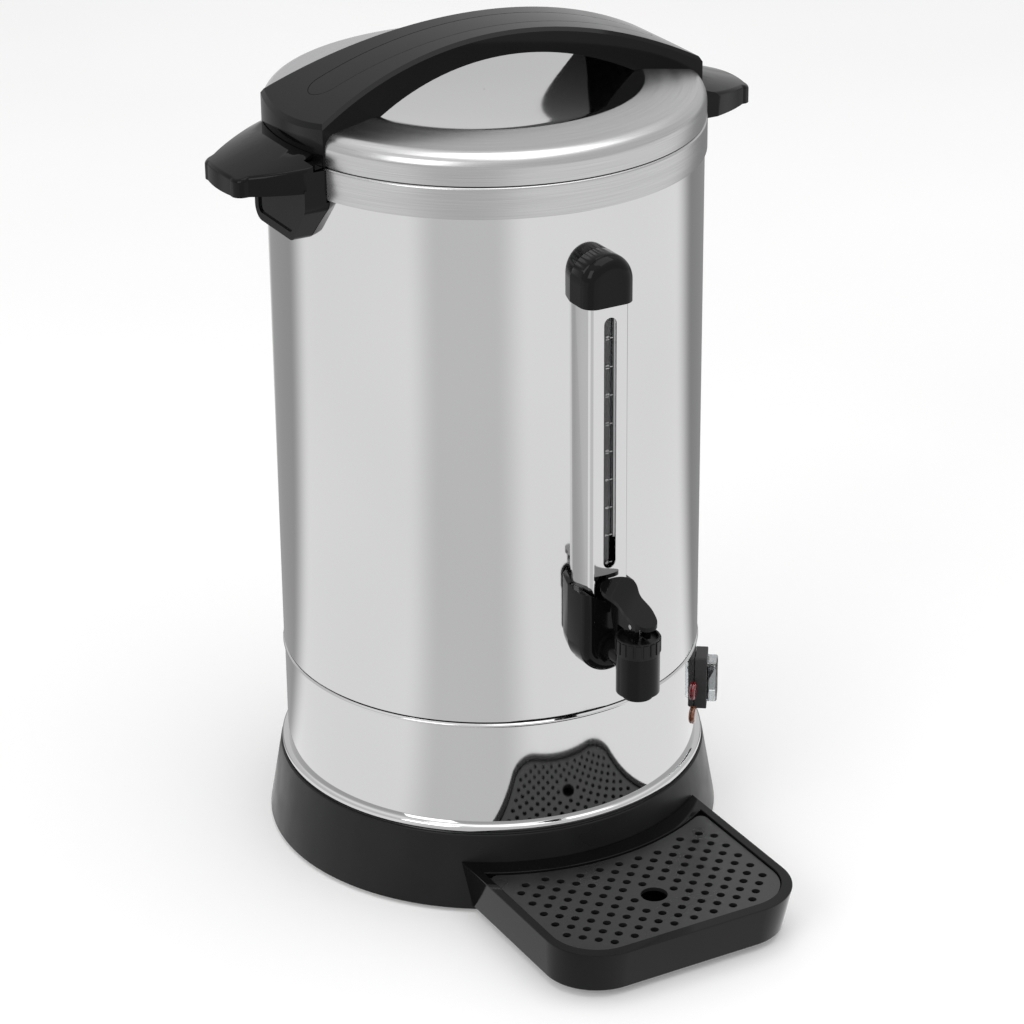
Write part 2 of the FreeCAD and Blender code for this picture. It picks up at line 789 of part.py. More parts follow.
def make_side_handle():
    """Carrying handle on the +X side; the other one is this turned half a turn."""
    inside = shell_radius - 15.0
    flange = shield(0, inside, grip_flange_face_x, grip_wing_root_z + 2)
    panel = shield(grip_panel_border, grip_flange_face_x - grip_panel_depth, grip_flange_face_x + 2,
                   grip_wing_root_z)
    body = flange.cut(panel).fuse(make_wing())
    shell_side = disc(shell_radius + slide_gap, band_top_z, collar_bottom_z - slide_gap)
    collar_side = disc(collar_radius + slide_gap, collar_bottom_z - slide_gap - 1, collar_top_z + 1)
    lid_side = disc(grip_lip_inner_radius, collar_top_z - 1.0, arch_crown_z)
    body = body.cut(shell_side).cut(collar_side).cut(lid_side)
    body = body.cut(notch_tool())
    for sign in (-1, 1):
        hole = Part.makeCylinder(grip_screw_radius, grip_screw_length, V(shell_radius - 1, 0, grip_screw_z),
                                 V(1, 0, 0))
        body = body.cut(spun(hole, sign * grip_screw_deg))
    return body.removeSplitter()


def notch_tool():
    """Mouth and undercut that take the lid's tongue, open at the +Y end."""
    ceiling = grip_lip_top_z - grip_lip_thick
    reach = tongue_reach + notch_clear
    undercut = sector(reach, collar_radius - 2, grip_notch_bottom_z, ceiling, notch_closed_deg, 40.0, 0.0)
    mouth = sector(reach, collar_radius - 2, grip_notch_bottom_z, grip_lip_top_z + 10,
                   tongue_start_deg - 0.5, 40.0, 0.0)
    return undercut.fuse(mouth)


def make_wing():
    """Beak-shaped grip that reaches out from the flange."""
    root_x = grip_flange_face_x - 2
    inner_x = grip_flange_face_x - 24
    tip = grip_tip_half_width
    half = grip_half_width
    corner = grip_tip_corner
    nose_x = grip_tip_x - 1.5
    bend_x = (root_x + grip_tip_x) / 2
    bend_y = (half + tip) / 2 - 1.5
    side_x = grip_tip_x - corner
    near = Part.makeLine(V(inner_x, -half, 0), V(root_x, -half, 0))
    near_side = Part.Arc(V(root_x, -half, 0), V(bend_x, -bend_y, 0), V(side_x, -tip, 0)).toShape()
    knuckle = (grip_tip_x - corner * 0.25, tip - corner * 0.4)
    near_corner = Part.Arc(V(side_x, -tip, 0), V(knuckle[0], -knuckle[1], 0), V(nose_x, -tip + corner, 0)).toShape()
    nose = Part.Arc(V(nose_x, -tip + corner, 0), V(grip_tip_x, 0, 0), V(nose_x, tip - corner, 0)).toShape()
    far_corner = Part.Arc(V(nose_x, tip - corner, 0), V(knuckle[0], knuckle[1], 0), V(side_x, tip, 0)).toShape()
    far_side = Part.Arc(V(side_x, tip, 0), V(bend_x, bend_y, 0), V(root_x, half, 0)).toShape()
    far = Part.makeLine(V(root_x, half, 0), V(inner_x, half, 0))
    back = Part.makeLine(V(inner_x, half, 0), V(inner_x, -half, 0))
    plan = Part.Face(Part.Wire([near, near_side, near_corner, nose, far_corner, far_side, far, back]))
    plan.translate(V(0, 0, grip_flange_bottom_z))
    upright = plan.extrude(V(0, 0, arch_crown_z - grip_flange_bottom_z))
    side = half + 2
    low = grip_flange_bottom_z
    edge_z = grip_crown_root_z - grip_crown_drop
    crown_arc = Part.Arc(V(inner_x, -side, edge_z), V(inner_x, 0, grip_crown_root_z), V(inner_x, side, edge_z))
    frame = Part.makePolygon([V(inner_x, side, edge_z), V(inner_x, side, low),
                              V(inner_x, -side, low), V(inner_x, -side, edge_z)])
    section = Part.Face(Part.Wire([crown_arc.toShape()] + frame.Edges))
    slope = (grip_crown_tip_z - grip_crown_root_z) / (grip_tip_x - root_x)
    crown = section.extrude(V(2 * grip_reach, 0, 2 * grip_reach * slope))
    crown.translate(V(0, 0, (inner_x - root_x) * slope))
    under = prism([(inner_x, grip_wing_root_z), (grip_flange_face_x, grip_wing_root_z),
                   (grip_tip_x + 5, grip_tip_z), (grip_tip_x + 5, arch_crown_z), (inner_x, arch_crown_z)],
                  "xz", -side, side)
    wing = upright.common(crown).common(under)
    rim_x = root_x + 4
    wing = rounded(wing, grip_rim_round, lambda p: p.x > rim_x and p.z > grip_wing_root_z + 2)
    lip_top = box(inner_x, grip_tip_x, -side, side, grip_lip_top_z, arch_crown_z)
    return wing.cut(lip_top.common(disc(grip_lip_outer_radius, grip_flange_bottom_z, arch_crown_z)))


def make_side_handle_screws():
    """Four pan-head screws, driven from inside the shell."""
    head_start = shell_radius - sheet - grip_screw_head
    head = Part.makeCylinder(grip_screw_head_radius, grip_screw_head - snug_gap, V(head_start, 0, grip_screw_z),
                             V(1, 0, 0))
    shank = Part.makeCylinder(grip_screw_radius, grip_screw_length, V(head_start, 0, grip_screw_z), V(1, 0, 0))
    screw = fuse_all([head, shank])
    return [spun(screw, grip_screw_axis(side, sign)) for side in (-1, 1) for sign in (-1, 1)]


def column(shrink, low, high):
    """Upright column on the gauge's rounded plan, made smaller all round by a margin."""
    half_root = cover_half_width - shrink
    half_front = cover_front_half - shrink
    front_y = -cover_front_radius + shrink
    corner = cover_corner - shrink
    block = prism([(-half_root, -shell_radius + 4), (half_root, -shell_radius + 4), (half_root, -shell_radius - 2),
                   (half_front, front_y), (-half_front, front_y), (-half_root, -shell_radius - 2)], "xy", low, high)
    return rounded(block, corner, lambda p: abs(p.y - front_y) < 0.01 and abs(abs(p.x) - half_front) < 0.01)


def rounded_front(outline, front_radius, radius):
    """Moulding on the shell with an outline seen from the front and a rounded front edge."""
    block = outline.common(box(-beyond, beyond, -front_radius, -shell_radius + 4, 0, arch_crown_z))
    return rounded(block, radius, lambda p: abs(p.y + front_radius) < 0.01)


def body_clearance():
    """The urn's outer wall, grown by a snug gap."""
    return disc(shell_radius + snug_gap, skirt_top_z, collar_top_z)


def make_gauge_cover():
    outer = column(0.0, cover_bottom_z, cover_top_z)
    inner = column(sheet, cover_bottom_z - 1, cover_top_z + 1)
    straight = box(-slot_half_width, slot_half_width, -cover_front_radius - 5, -cover_front_radius + 5,
                   slot_bottom_z + slot_half_width, slot_top_z - slot_half_width)
    ends = [rod_y(slot_half_width, -cover_front_radius - 5, -cover_front_radius + 5, 0, z)
            for z in (slot_bottom_z + slot_half_width, slot_top_z - slot_half_width)]
    cover = outer.cut(inner).cut(body_clearance())
    for tool in [straight] + ends:
        cover = cover.cut(tool)
    return cover


def make_gauge_glass():
    return ring(glass_radius, glass_radius - glass_wall, branch_top_z - glass_seat_depth + 1.5, glass_top_z,
                0, glass_axis_y)


def make_gauge_scale():
    """Half-round strip behind the glass, which carries the marks."""
    inner = glass_radius + snug_gap
    tube = ring(inner + scale_wall, inner, branch_top_z + 3.5, cap_bottom_z - 2, 0, glass_axis_y)
    keep = box(-2 * glass_radius, 2 * glass_radius, glass_axis_y + 1.0, -shell_radius - snug_gap, branch_top_z, cap_top_z)
    return tube.common(keep)


def make_gauge_seals():
    """Silicone rings at the two ends of the glass."""
    lower = ring(branch_radius, glass_radius, branch_top_z, branch_top_z + 3, 0, glass_axis_y)
    upper = ring(glass_radius + 1.5, glass_radius, glass_top_z - 5, glass_top_z - 2, 0, glass_axis_y)
    return [lower, upper]


def cap_screw_z():
    """Height of the screw that holds the gauge cap."""
    return cap_top_z - cap_screw_drop


def make_gauge_cap():
    centre_z = cap_top_z - cap_half_width
    outline = fuse_all([rod_y(cap_half_width, -shell_radius - beyond, -shell_radius + beyond, 0, centre_z),
                        box(-cap_half_width, cap_half_width, -shell_radius - beyond, -shell_radius + beyond,
                            cap_bottom_z - beyond, centre_z)])
    body = rounded_front(outline, cap_front_radius, cap_round)
    body = body.cut(disc(cap_front_radius + beyond, cap_bottom_z - 2 * beyond, cap_bottom_z))
    pocket = column(-snug_gap, cap_bottom_z - 1, cover_top_z + slide_gap)
    tube = disc(glass_radius + 1.5, cap_bottom_z - 1, glass_top_z + 1, 0, glass_axis_y)
    body = body.cut(pocket).cut(tube).cut(body_clearance())
    return body.cut(rod_y(cap_screw_radius, -shell_radius - 9, -shell_radius + beyond, 0, cap_screw_z()))


def make_gauge_cap_screw():
    inside = -shell_radius + sheet + snug_gap
    head = rod_y(3.6, inside, inside + 2.0, 0, cap_screw_z())
    shank = rod_y(cap_screw_radius, -shell_radius - 8, inside + 0.5, 0, cap_screw_z())
    return fuse_all([head, shank])


def make_tap_shroud():
    centre_z = shroud_bottom_z + shroud_half_width
    outline = fuse_all([rod_y(shroud_half_width, -shell_radius - beyond, -shell_radius + beyond, 0, centre_z),
                        box(-shroud_half_width, shroud_half_width, -shell_radius - beyond,
                            -shell_radius + beyond, centre_z, shroud_top_z + beyond)])
    body = rounded_front(outline, shroud_front_radius, shroud_round)
    wide = shroud_half_width + 5
    wave = prism([(-wide, shroud_top_z), (-shroud_half_width * 0.8, shroud_top_z),
                  (-slot_half_width, shroud_dip_z), (slot_half_width, shroud_dip_z),
                  (shroud_half_width * 0.8, shroud_top_z), (wide, shroud_top_z), (wide, cap_top_z + beyond * 3),
                  (-wide, cap_top_z + beyond * 3)], "xz", -shroud_front_radius - 5, -shell_radius + 5)
    inner = column(-snug_gap, shank_z - shank_radius - 4, shroud_top_z + 5)
    body = body.cut(wave).cut(inner).cut(body_clearance())
    return body.cut(shank_hole())


def make_tap_body():
    shank = rod_y(shank_radius, tap_axis_y, shank_inner_end_y, 0, shank_z)
    flange = rod_y(flange_radius, flange_front_y, flange_back_y, 0, shank_z)
    collar = rod_y(shank_radius + 2.5, -shroud_front_radius - 3.4, -shroud_front_radius - 0.3, 0, shank_z)
    branch = disc(branch_radius, shank_z, branch_top_z, 0, glass_axis_y)
    barrel = disc(barrel_radius, barrel_bottom_z, barrel_top_z, 0, tap_axis_y)
    neck = disc(neck_radius, barrel_top_z, barrel_top_z + neck_height, 0, tap_axis_y)
    nozzle = disc(nozzle_radius, nozzle_bottom_z, barrel_bottom_z, 0, tap_axis_y)
    body = fuse_all([shank, flange, collar, branch, barrel, neck, nozzle])
    top = barrel_top_z + neck_height
    body = body.cut(disc(barrel_bore, seat_z, top + 1, 0, tap_axis_y))
    body = body.cut(disc(outlet_bore, nozzle_bottom_z - 1, seat_z + 1, 0, tap_axis_y))
    body = body.cut(rod_y(shank_bore, tap_axis_y, shank_inner_end_y + 1, 0, shank_z))
    body = body.cut(disc(glass_radius - glass_wall, shank_z, branch_top_z + 1, 0, glass_axis_y))
    seat_low = branch_top_z - glass_seat_depth
    return body.cut(disc(glass_radius + shaft_gap, seat_low, branch_top_z + 1, 0, glass_axis_y))


def make_tap_bonnet():
    low = barrel_top_z
    high = barrel_top_z + bonnet_height
    rim_z = high - bonnet_rim_depth
    core = disc(bonnet_radius - rib_proud, low + 0.1, high)
    rib = sector(bonnet_radius, bonnet_radius - rib_proud - 0.5, low + 1.8, high - 1.0,
                 -rib_deg / 2, rib_deg / 2, 0.0)
    body = core.multiFuse(around(rib, rib_count))
    body.translate(V(0, tap_axis_y, 0))
    body = body.cut(disc(bonnet_radius - bonnet_rim_wall, rim_z, high + 1, 0, tap_axis_y))
    body = body.cut(disc(neck_radius + snug_gap, low - 1, barrel_top_z + neck_height + snug_gap, 0, tap_axis_y))
    return body.cut(disc(stem_radius + shaft_gap, low - 1, high + 1, 0, tap_axis_y))


def make_tap_stem():
    rod = disc(stem_radius, seat_z + cup_height - 3, pin_z - 2, 0, tap_axis_y)
    blade = box(-blade_half_thick, blade_half_thick, tap_axis_y - stem_radius, tap_axis_y + stem_radius,
                pin_z - 3, pin_z)
    eye = rod_x(pin_radius + eye_wall, -blade_half_thick, blade_half_thick, tap_axis_y, pin_z)
    return fuse_all([rod, blade, eye]).cut(rod_x(pin_radius + 0.02, -barrel_radius, barrel_radius, tap_axis_y, pin_z))


def make_tap_seat_cup():
    cup = turned([(0, seat_z), (outlet_bore + 1.2, seat_z), (cup_radius, seat_z + 1.6),
                  (cup_radius, seat_z + cup_height), (0, seat_z + cup_height)])
    cup.translate(V(0, tap_axis_y, 0))
    return cup.cut(disc(stem_radius, seat_z + cup_height - 3, seat_z + cup_height + 5, 0, tap_axis_y))


def make_tap_spring():
    """Closing spring between the seat cup and the bonnet."""
    low = seat_z + cup_height + spring_wire
    high = barrel_top_z + neck_height - spring_wire
    pitch = (high - low) / spring_turns
    helix = Part.makeHelix(pitch, high - low, spring_radius)
    section = Part.Wire(Part.makeCircle(spring_wire / 2, V(spring_radius, 0, 0), V(0, 1, 0)))
    wire = Part.Wire(helix).makePipeShell([section], True, True)
    wire.translate(V(0, tap_axis_y, low))
    return wire


def make_tap_lever_pin():
    reach = stem_radius + lever_cheek + 2 * slide_gap
    return rod_x(pin_radius, -reach, reach, tap_axis_y, pin_z)


def lever_outline():
    """Plan outline of the lever's thumb plate, measured back from the tap's axis."""
    return [(-15.0, 0.0), (-13.0, 5.4), (-6.0, 8.1), (0.0, 8.9), (6.0, 8.6), (11.0, 8.5), (16.0, 9.8),
            (20.5, 11.4), (25.0, 11.6), (29.0, 8.8), (31.0, 3.6), (31.3, 0.0)]


def make_tap_lever():
    right = [V(w, tap_axis_y + d, 0) for d, w in lever_outline()]
    left = [V(-w, tap_axis_y + d, 0) for d, w in lever_outline()[::-1]]
    curve_r = Part.BSplineCurve()
    curve_r.interpolate(right)
    curve_l = Part.BSplineCurve()
    curve_l.interpolate(left)
    plan = Part.Face(Part.Wire([curve_r.toShape(), curve_l.toShape()]))
    column = plan.extrude(V(0, 0, 80))
    column.translate(V(0, 0, 180))
    rise = math.tan(math.radians(lever_tilt_deg))
    back, front = 45.0, -25.0
    top_z = pin_z + lever_top_over_pin
    plate_side = [(tap_axis_y + front, top_z + front * rise), (tap_axis_y + back, top_z + back * rise),
                  (tap_axis_y + back, top_z + back * rise - lever_plate_thick),
                  (tap_axis_y + front, top_z + front * rise - lever_plate_thick)]
    plate = column.common(prism(plate_side, "yz", -20, 20))
    half = stem_radius + slide_gap
    web_half = half + lever_cheek
    web_side = [(-6.0, lever_top_over_pin - 2.0 - 6.0 * rise), (-5.4, -8.2), (6.4, -8.2),
                (7.6, -4.2), (14.9, -4.2), (15.3, -11.0),
                (19.5, -11.0), (22.0, -3.0), (24.0, lever_top_over_pin - 2.0 + 24.0 * rise)]
    web = prism([(tap_axis_y + d, pin_z + z) for d, z in web_side], "yz", -web_half, web_half)
    slot = box(-half, half, tap_axis_y - 10, tap_axis_y + 7.6, pin_z - 20, pin_z + 5.0)
    lever = fuse_all([plate, web]).cut(slot)
    return lever.cut(rod_x(pin_radius + shaft_gap, -barrel_radius, barrel_radius, tap_axis_y, pin_z))


def make_tap_nut():
    inside = -tank_inner_radius
    seat = inside + washer_thick
    nut = hexagon(tap_nut_across, 0, tap_nut_thick)
    nut.rotate(V(0, 0, 0), V(1, 0, 0), -90)
    nut.translate(V(0, seat + 1.2, shank_z))
    return nut.cut(rod_y(shank_radius + shaft_gap, tap_axis_y, -tank_inner_radius + beyond, 0, shank_z))


def make_tap_washers():
    """Silicone washers inside the tank, between the two walls and outside the shell."""
    hole = rod_y(shank_radius + shaft_gap, tap_axis_y, -tank_inner_radius + beyond, 0, shank_z)
    low, high = shank_z - beyond, shank_z + beyond
    inner_end = -tank_inner_radius + washer_thick + 1.2
    bore = rod_y(washer_radius, -tank_inner_radius - 2, inner_end, 0, shank_z)
    inner = bore.common(disc(tank_inner_radius, low, high)).cut(hole)
    between = rod_y(washer_radius, -shell_radius, -tank_inner_radius + 6, 0, shank_z)
    middle = between.common(disc(shell_radius - sheet, low, high))
    middle = middle.cut(disc(tank_inner_radius + sheet, low, high)).cut(hole)
    outer = rod_y(flange_radius, flange_back_y, -shell_radius + 5, 0, shank_z)
    outer = outer.cut(disc(shell_radius, low, high)).cut(hole)
    return [inner, middle, outer]


def make_switch_plinth():
    tall = plinth_height / 2
    block = box(-plinth_half_width, plinth_half_width, -plinth_face_radius, -band_radius + beyond,
                switch_z - tall, switch_z + tall)
    block = rounded(block, 1.5, lambda p: abs(abs(p.x) - plinth_half_width) < 0.01
                    and abs(abs(p.z - switch_z) - tall) < 0.01)
    block = block.cut(band_clearance()).cut(switch_passage(snug_gap))
    return switch_place(block)


def make_switch_body():
    tall = switch_height / 2
    core = box(-switch_half_width, switch_half_width, -plinth_face_radius, -switch_back_radius,
               switch_z - tall, switch_z + tall)
    bezel_half = switch_half_width + bezel_border
    bezel_tall = tall + bezel_border
    bezel = box(-bezel_half, bezel_half, -plinth_face_radius - bezel_thick, -plinth_face_radius,
                switch_z - bezel_tall, switch_z + bezel_tall)
    body = fuse_all([core, bezel])
    well_half = rocker_half_width + slide_gap
    well_tall = rocker_height / 2 + 1.2
    well = box(-well_half, well_half, -plinth_face_radius - 5, -plinth_face_radius + 11,
               switch_z - well_tall, switch_z + well_tall)
    body = body.cut(well)
    pivot = rod_x(axle_radius + shaft_gap, -switch_half_width + 0.6, switch_half_width - 0.6, -rocker_pivot_radius, switch_z)
    return switch_place(body.cut(pivot))


def make_switch_rocker():
    """Rocker with its top end proud, as when its lower end is pressed."""
    y0 = -rocker_pivot_radius
    tall = rocker_height / 2
    side = [(y0 - 3.0, switch_z - tall + 0.6), (y0 - 2.4, switch_z), (y0 - 6.0, switch_z + tall - 0.6),
            (y0 - 3.0, switch_z + tall), (y0 + 2.6, switch_z + tall - 1.2), (y0 + 4.0, switch_z),
            (y0 + 0.6, switch_z - tall + 0.4)]
    body = prism(side, "yz", -rocker_half_width, rocker_half_width)
    axle = rod_x(axle_radius, -switch_half_width + 0.7, switch_half_width - 0.7, y0, switch_z)
    return switch_place(fuse_all([body, axle]))


def make_switch_cover():
    """Clear splash cover over the rocker."""
    tall = dome_height / 2
    foot = plinth_face_radius
    outer = box(-dome_half_width, dome_half_width, -dome_face_radius, -foot, switch_z - tall, switch_z + tall)
    outer = rounded(outer, 1.6, lambda p: p.y < -foot - 0.5)
    half = dome_half_width - dome_wall
    inner_tall = tall - dome_wall
    inner = box(-half, half, -dome_face_radius + dome_wall, -foot + 1, switch_z - inner_tall, switch_z + inner_tall)
    return switch_place(outer.cut(inner))


def make_switch_terminals():
    blades = []
    for x in (-3.6, 3.6):
        for z in (switch_z - 6, switch_z + 6):
            blades.append(switch_place(box(x - 0.4, x + 0.4, -switch_back_radius, -switch_back_radius + 8,
                                           z - 2.4, z + 2.4)))
    return blades


def make_lamp(z):
    """Indicator lens: a low dome with a stem through the band."""
    dome_y = -band_radius - lamp_proud
    lens = rod_y(lamp_lens_radius, dome_y, -band_radius + beyond, 0, z)
    lens = lens.cut(band_clearance())
    lens = rounded(lens, 1.6, lambda p: abs(p.y - dome_y) < 0.05)
    stem = rod_y(lamp_stem_radius, -band_radius - 1.0, -band_radius + lamp_tail, 0, z)
    return lamp_place(fuse_all([lens, stem]))


def make_lamp_holders():
    """Push-on clips behind the band, one on each lamp stem."""
    clips = []
    back = -band_radius + 3.9
    for z in (lamp_red_z, lamp_amber_z):
        clip = rod_y(clip_radius, back, back + clip_thick, 0, z)
        clip = clip.cut(rod_y(lamp_stem_radius + 0.02, back - 10, back + 10, 0, z))
        clips.append(lamp_place(clip))
    return clips


def inlet_screw_hole(x):
    """Clearance hole for one of the inlet's screws."""
    return rod_y(inlet_screw_radius + snug_gap, inlet_face_y - beyond, inlet_face_y + beyond, x, inlet_z)


def make_inlet_bezel():
    """Flat-faced adapter between the round band and the inlet."""
    half = inlet_flange_half + 2
    tall = inlet_flange_height / 2 + 2
    block = box(-half, half, inlet_face_y - beyond, inlet_face_y, inlet_z - tall, inlet_z + tall)
    block = rounded(block, 4.0, lambda p: abs(abs(p.x) - half) < 0.01 and abs(abs(p.z - inlet_z) - tall) < 0.01)
    block = block.cut(band_clearance())
    opening_half = inlet_opening_half + snug_gap
    opening_tall = inlet_opening_height / 2 + snug_gap
    opening = box(-opening_half, opening_half, inlet_face_y - beyond, inlet_face_y + beyond,
                  inlet_z - opening_tall, inlet_z + opening_tall)
    block = block.cut(opening)
    for x in (-inlet_screw_half_spacing, inlet_screw_half_spacing):
        block = block.cut(inlet_screw_hole(x))
    return block


def inlet_cavity_points():
    """Outline of the three-pin inlet's socket, with its two cut corners."""
    half = 12.0
    tall = 8.0
    cut = 4.5
    return [(-half, inlet_z - tall), (half, inlet_z - tall), (half, inlet_z + tall - cut),
            (half - cut, inlet_z + tall), (-half + cut, inlet_z + tall), (-half, inlet_z + tall - cut)]


def make_mains_inlet():
    half = inlet_opening_half
    tall = inlet_opening_height / 2
    core = box(-half, half, inlet_face_y - inlet_depth, inlet_face_y, inlet_z - tall, inlet_z + tall)
    flange = box(-inlet_flange_half, inlet_flange_half, inlet_face_y, inlet_face_y + inlet_flange_thick,
                 inlet_z - inlet_flange_height / 2, inlet_z + inlet_flange_height / 2)
    flange = rounded(flange, 6.0, lambda p: abs(abs(p.x) - inlet_flange_half) < 0.01
                     and abs(abs(p.z - inlet_z) - inlet_flange_height / 2) < 0.01)
    body = fuse_all([core, flange])
    body = body.cut(prism(inlet_cavity_points(), "xz", inlet_face_y - inlet_socket_depth, inlet_face_y + beyond))
    for x in (-inlet_screw_half_spacing, inlet_screw_half_spacing):
        body = body.cut(inlet_screw_hole(x))
    for x, z in inlet_pin_places():
        body = body.cut(box(x - 1, x + 1, inlet_face_y - beyond, inlet_face_y + beyond, z - 2, z + 2))
    return body


def inlet_pin_places():
    """Places of the line, neutral and earth pins."""
    return [(-7.0, inlet_z - 2.0), (7.0, inlet_z - 2.0), (0.0, inlet_z + 2.0)]


def make_inlet_pins():
    return [box(x - 1, x + 1, inlet_face_y - inlet_depth - 8, inlet_face_y - 1, z - 2, z + 2)
            for x, z in inlet_pin_places()]


def make_inlet_screws():
    screws = []
    for x in (-inlet_screw_half_spacing, inlet_screw_half_spacing):
        face = inlet_face_y + inlet_flange_thick
        head = rod_y(3.2, face, face + 1.8, x, inlet_z)
        shank = rod_y(inlet_screw_radius, inlet_face_y - 15, face + 0.5, x, inlet_z)
        screws.append(fuse_all([head, shank]))
    return screws


def make_heat_spreader():
    disc_body = disc(spreader_radius, band_top_z - spreader_thick, band_top_z)
    return disc_body.cut(disc(clamp_bolt_radius + shaft_gap, band_top_z - beyond, band_top_z + beyond))


def make_heating_element():
    """Sheathed ring element, open at the back where its cold ends turn down."""
    z = band_top_z - spreader_thick - element_tube_radius
    sweep = 360.0 - element_gap_deg
    first = 90.0 + element_gap_deg / 2
    loop = Part.makeTorus(element_ring_radius, element_tube_radius, V(0, 0, z), V(0, 0, 1), 0, 360, sweep)
    loop.rotate(V(0, 0, 0), V(0, 0, 1), first)
    pieces = [loop]
    for angle in (math.radians(first), math.radians(first + sweep)):
        x, y = element_ring_radius * math.cos(angle), element_ring_radius * math.sin(angle)
        pieces.append(Part.makeSphere(element_tube_radius, V(x, y, z)))
        pieces.append(disc(element_tube_radius, z - element_leg, z, x, y))
        pieces.append(disc(1.5, z - element_leg - element_pin, z - element_leg, x, y))
    return fuse_all(pieces)


def make_clamp_plate():
    top = band_top_z - spreader_thick - 2 * element_tube_radius
    plate = disc(clamp_radius, top - clamp_thick, top)
    plate = plate.cut(disc(clamp_bolt_radius + shaft_gap, top - beyond, top + beyond))
    half = element_ring_radius * math.sin(math.radians(element_gap_deg / 2)) + element_tube_radius + 1.5
    low_edge = element_ring_radius * math.cos(math.radians(element_gap_deg / 2)) - element_tube_radius - 1.5
    return plate.cut(box(-half, half, low_edge, clamp_radius + 5, top - 5, top + 5))


def make_clamp_bolt():
    top = band_top_z - spreader_thick - 2 * element_tube_radius
    return disc(clamp_bolt_radius, top - 12, band_top_z)


def make_clamp_nut():
    top = band_top_z - spreader_thick - 2 * element_tube_radius - clamp_thick
    return hexagon(13.0, top - 6.5, top).cut(disc(clamp_bolt_radius, top - beyond, top + beyond))


def thermostat(degrees):
    """Snap-disc thermostat against the tank's underside, with two blades."""
    top = band_top_z
    x = thermostat_circle
    body = fuse_all([disc(thermostat_radius, top - 4, top, x, 0), disc(6.5, top - thermostat_height, top - 4, x, 0),
                     box(x - 2.5, x + 2.5, -13, 13, top - 0.8, top),
                     box(x - 2.4, x + 2.4, -5.4, -4.6, top - thermostat_height - 7, top - thermostat_height + 1),
                     box(x - 2.4, x + 2.4, 4.6, 5.4, top - thermostat_height - 7, top - thermostat_height + 1)])
    return spun(body, degrees)


def make_boil_dry_cutout():
    body = spun(thermostat(0.0), cutout_deg)
    bottom = band_top_z - thermostat_height
    return body.cut(spun(disc(reset_radius + shaft_gap, bottom - 1, bottom + 6, thermostat_circle, 0), cutout_deg))


def make_reset_button():
    bottom = band_top_z - thermostat_height
    button = disc(reset_radius, bottom - reset_proud, bottom + 6 - reset_travel - 0.4, thermostat_circle, 0)
    return spun(button, cutout_deg)


def tray_outline(half, front_y, corner, back_y):
    """Tray plan: straight sides, a straight front and two round corners."""
    k = corner * (1 - math.sqrt(0.5))
    edges = [
        Part.makeLine(V(-half, back_y, 0), V(-half, front_y + corner, 0)),
        Part.Arc(V(-half, front_y + corner, 0), V(-half + k, front_y + k, 0), V(-half + corner, front_y, 0)).toShape(),
        Part.makeLine(V(-half + corner, front_y, 0), V(half - corner, front_y, 0)),
        Part.Arc(V(half - corner, front_y, 0), V(half - k, front_y + k, 0), V(half, front_y + corner, 0)).toShape(),
        Part.makeLine(V(half, front_y + corner, 0), V(half, back_y, 0)),
        Part.makeLine(V(half, back_y, 0), V(-half, back_y, 0)),
    ]
    return Part.Wire(edges)


def tray_block(half, front_y, corner, low, high):
    """Upright prism on the tray's plan."""
    wire = tray_outline(half, front_y, corner, -skirt_bottom_radius + 48.0)
    wire.translate(V(0, 0, low))
    return Part.Face(wire).extrude(V(0, 0, high - low))


def make_drip_tray():
    low_wire = tray_outline(tray_base_half, tray_base_front_y, tray_corner - 2, -skirt_bottom_radius + 48.0)
    low_wire.translate(V(0, 0, tray_bottom_z))
    high_wire = tray_outline(tray_half_width, tray_front_y, tray_corner, -skirt_bottom_radius + 48.0)
    high_wire.translate(V(0, 0, tray_top_z))
    body = Part.makeLoft([low_wire, high_wire], True, True)
    reach = tray_skirt_gap
    cone = turned([(0, skirt_bottom_z - 10), (skirt_radius_at(skirt_bottom_z - 10) + reach, skirt_bottom_z - 10),
                   (skirt_radius_at(skirt_top_z) + reach, skirt_top_z), (0, skirt_top_z)])
    body = body.cut(cone)
    seat_z = tray_top_z - grille_drop - grille_thick
    pocket = tray_block(tray_half_width - tray_rim, tray_front_y + tray_front_rim, grille_corner, seat_z, tray_top_z + 1)
    pocket = pocket.cut(disc(grille_back_radius, 0, tray_top_z + beyond))
    basin = tray_block(tray_half_width - tray_rim - tray_ledge, tray_front_y + tray_front_rim + tray_ledge,
                       grille_corner - tray_ledge, tray_bottom_z + tray_floor_thick, seat_z + 1)
    basin = basin.cut(disc(grille_back_radius + tray_ledge, 0, tray_top_z + beyond))
    body = body.cut(pocket).cut(basin)
    for x in (-tray_tab_x, tray_tab_x):
        back = -math.sqrt(skirt_radius_at(tray_tab_z) ** 2 - tray_tab_x ** 2)
        tab = box(x - tray_tab_half, x + tray_tab_half, back - 6, back + tray_tab_depth,
                  tray_tab_z, tray_tab_z + tray_tab_thick)
        body = body.fuse(tab)
    return body.removeSplitter()


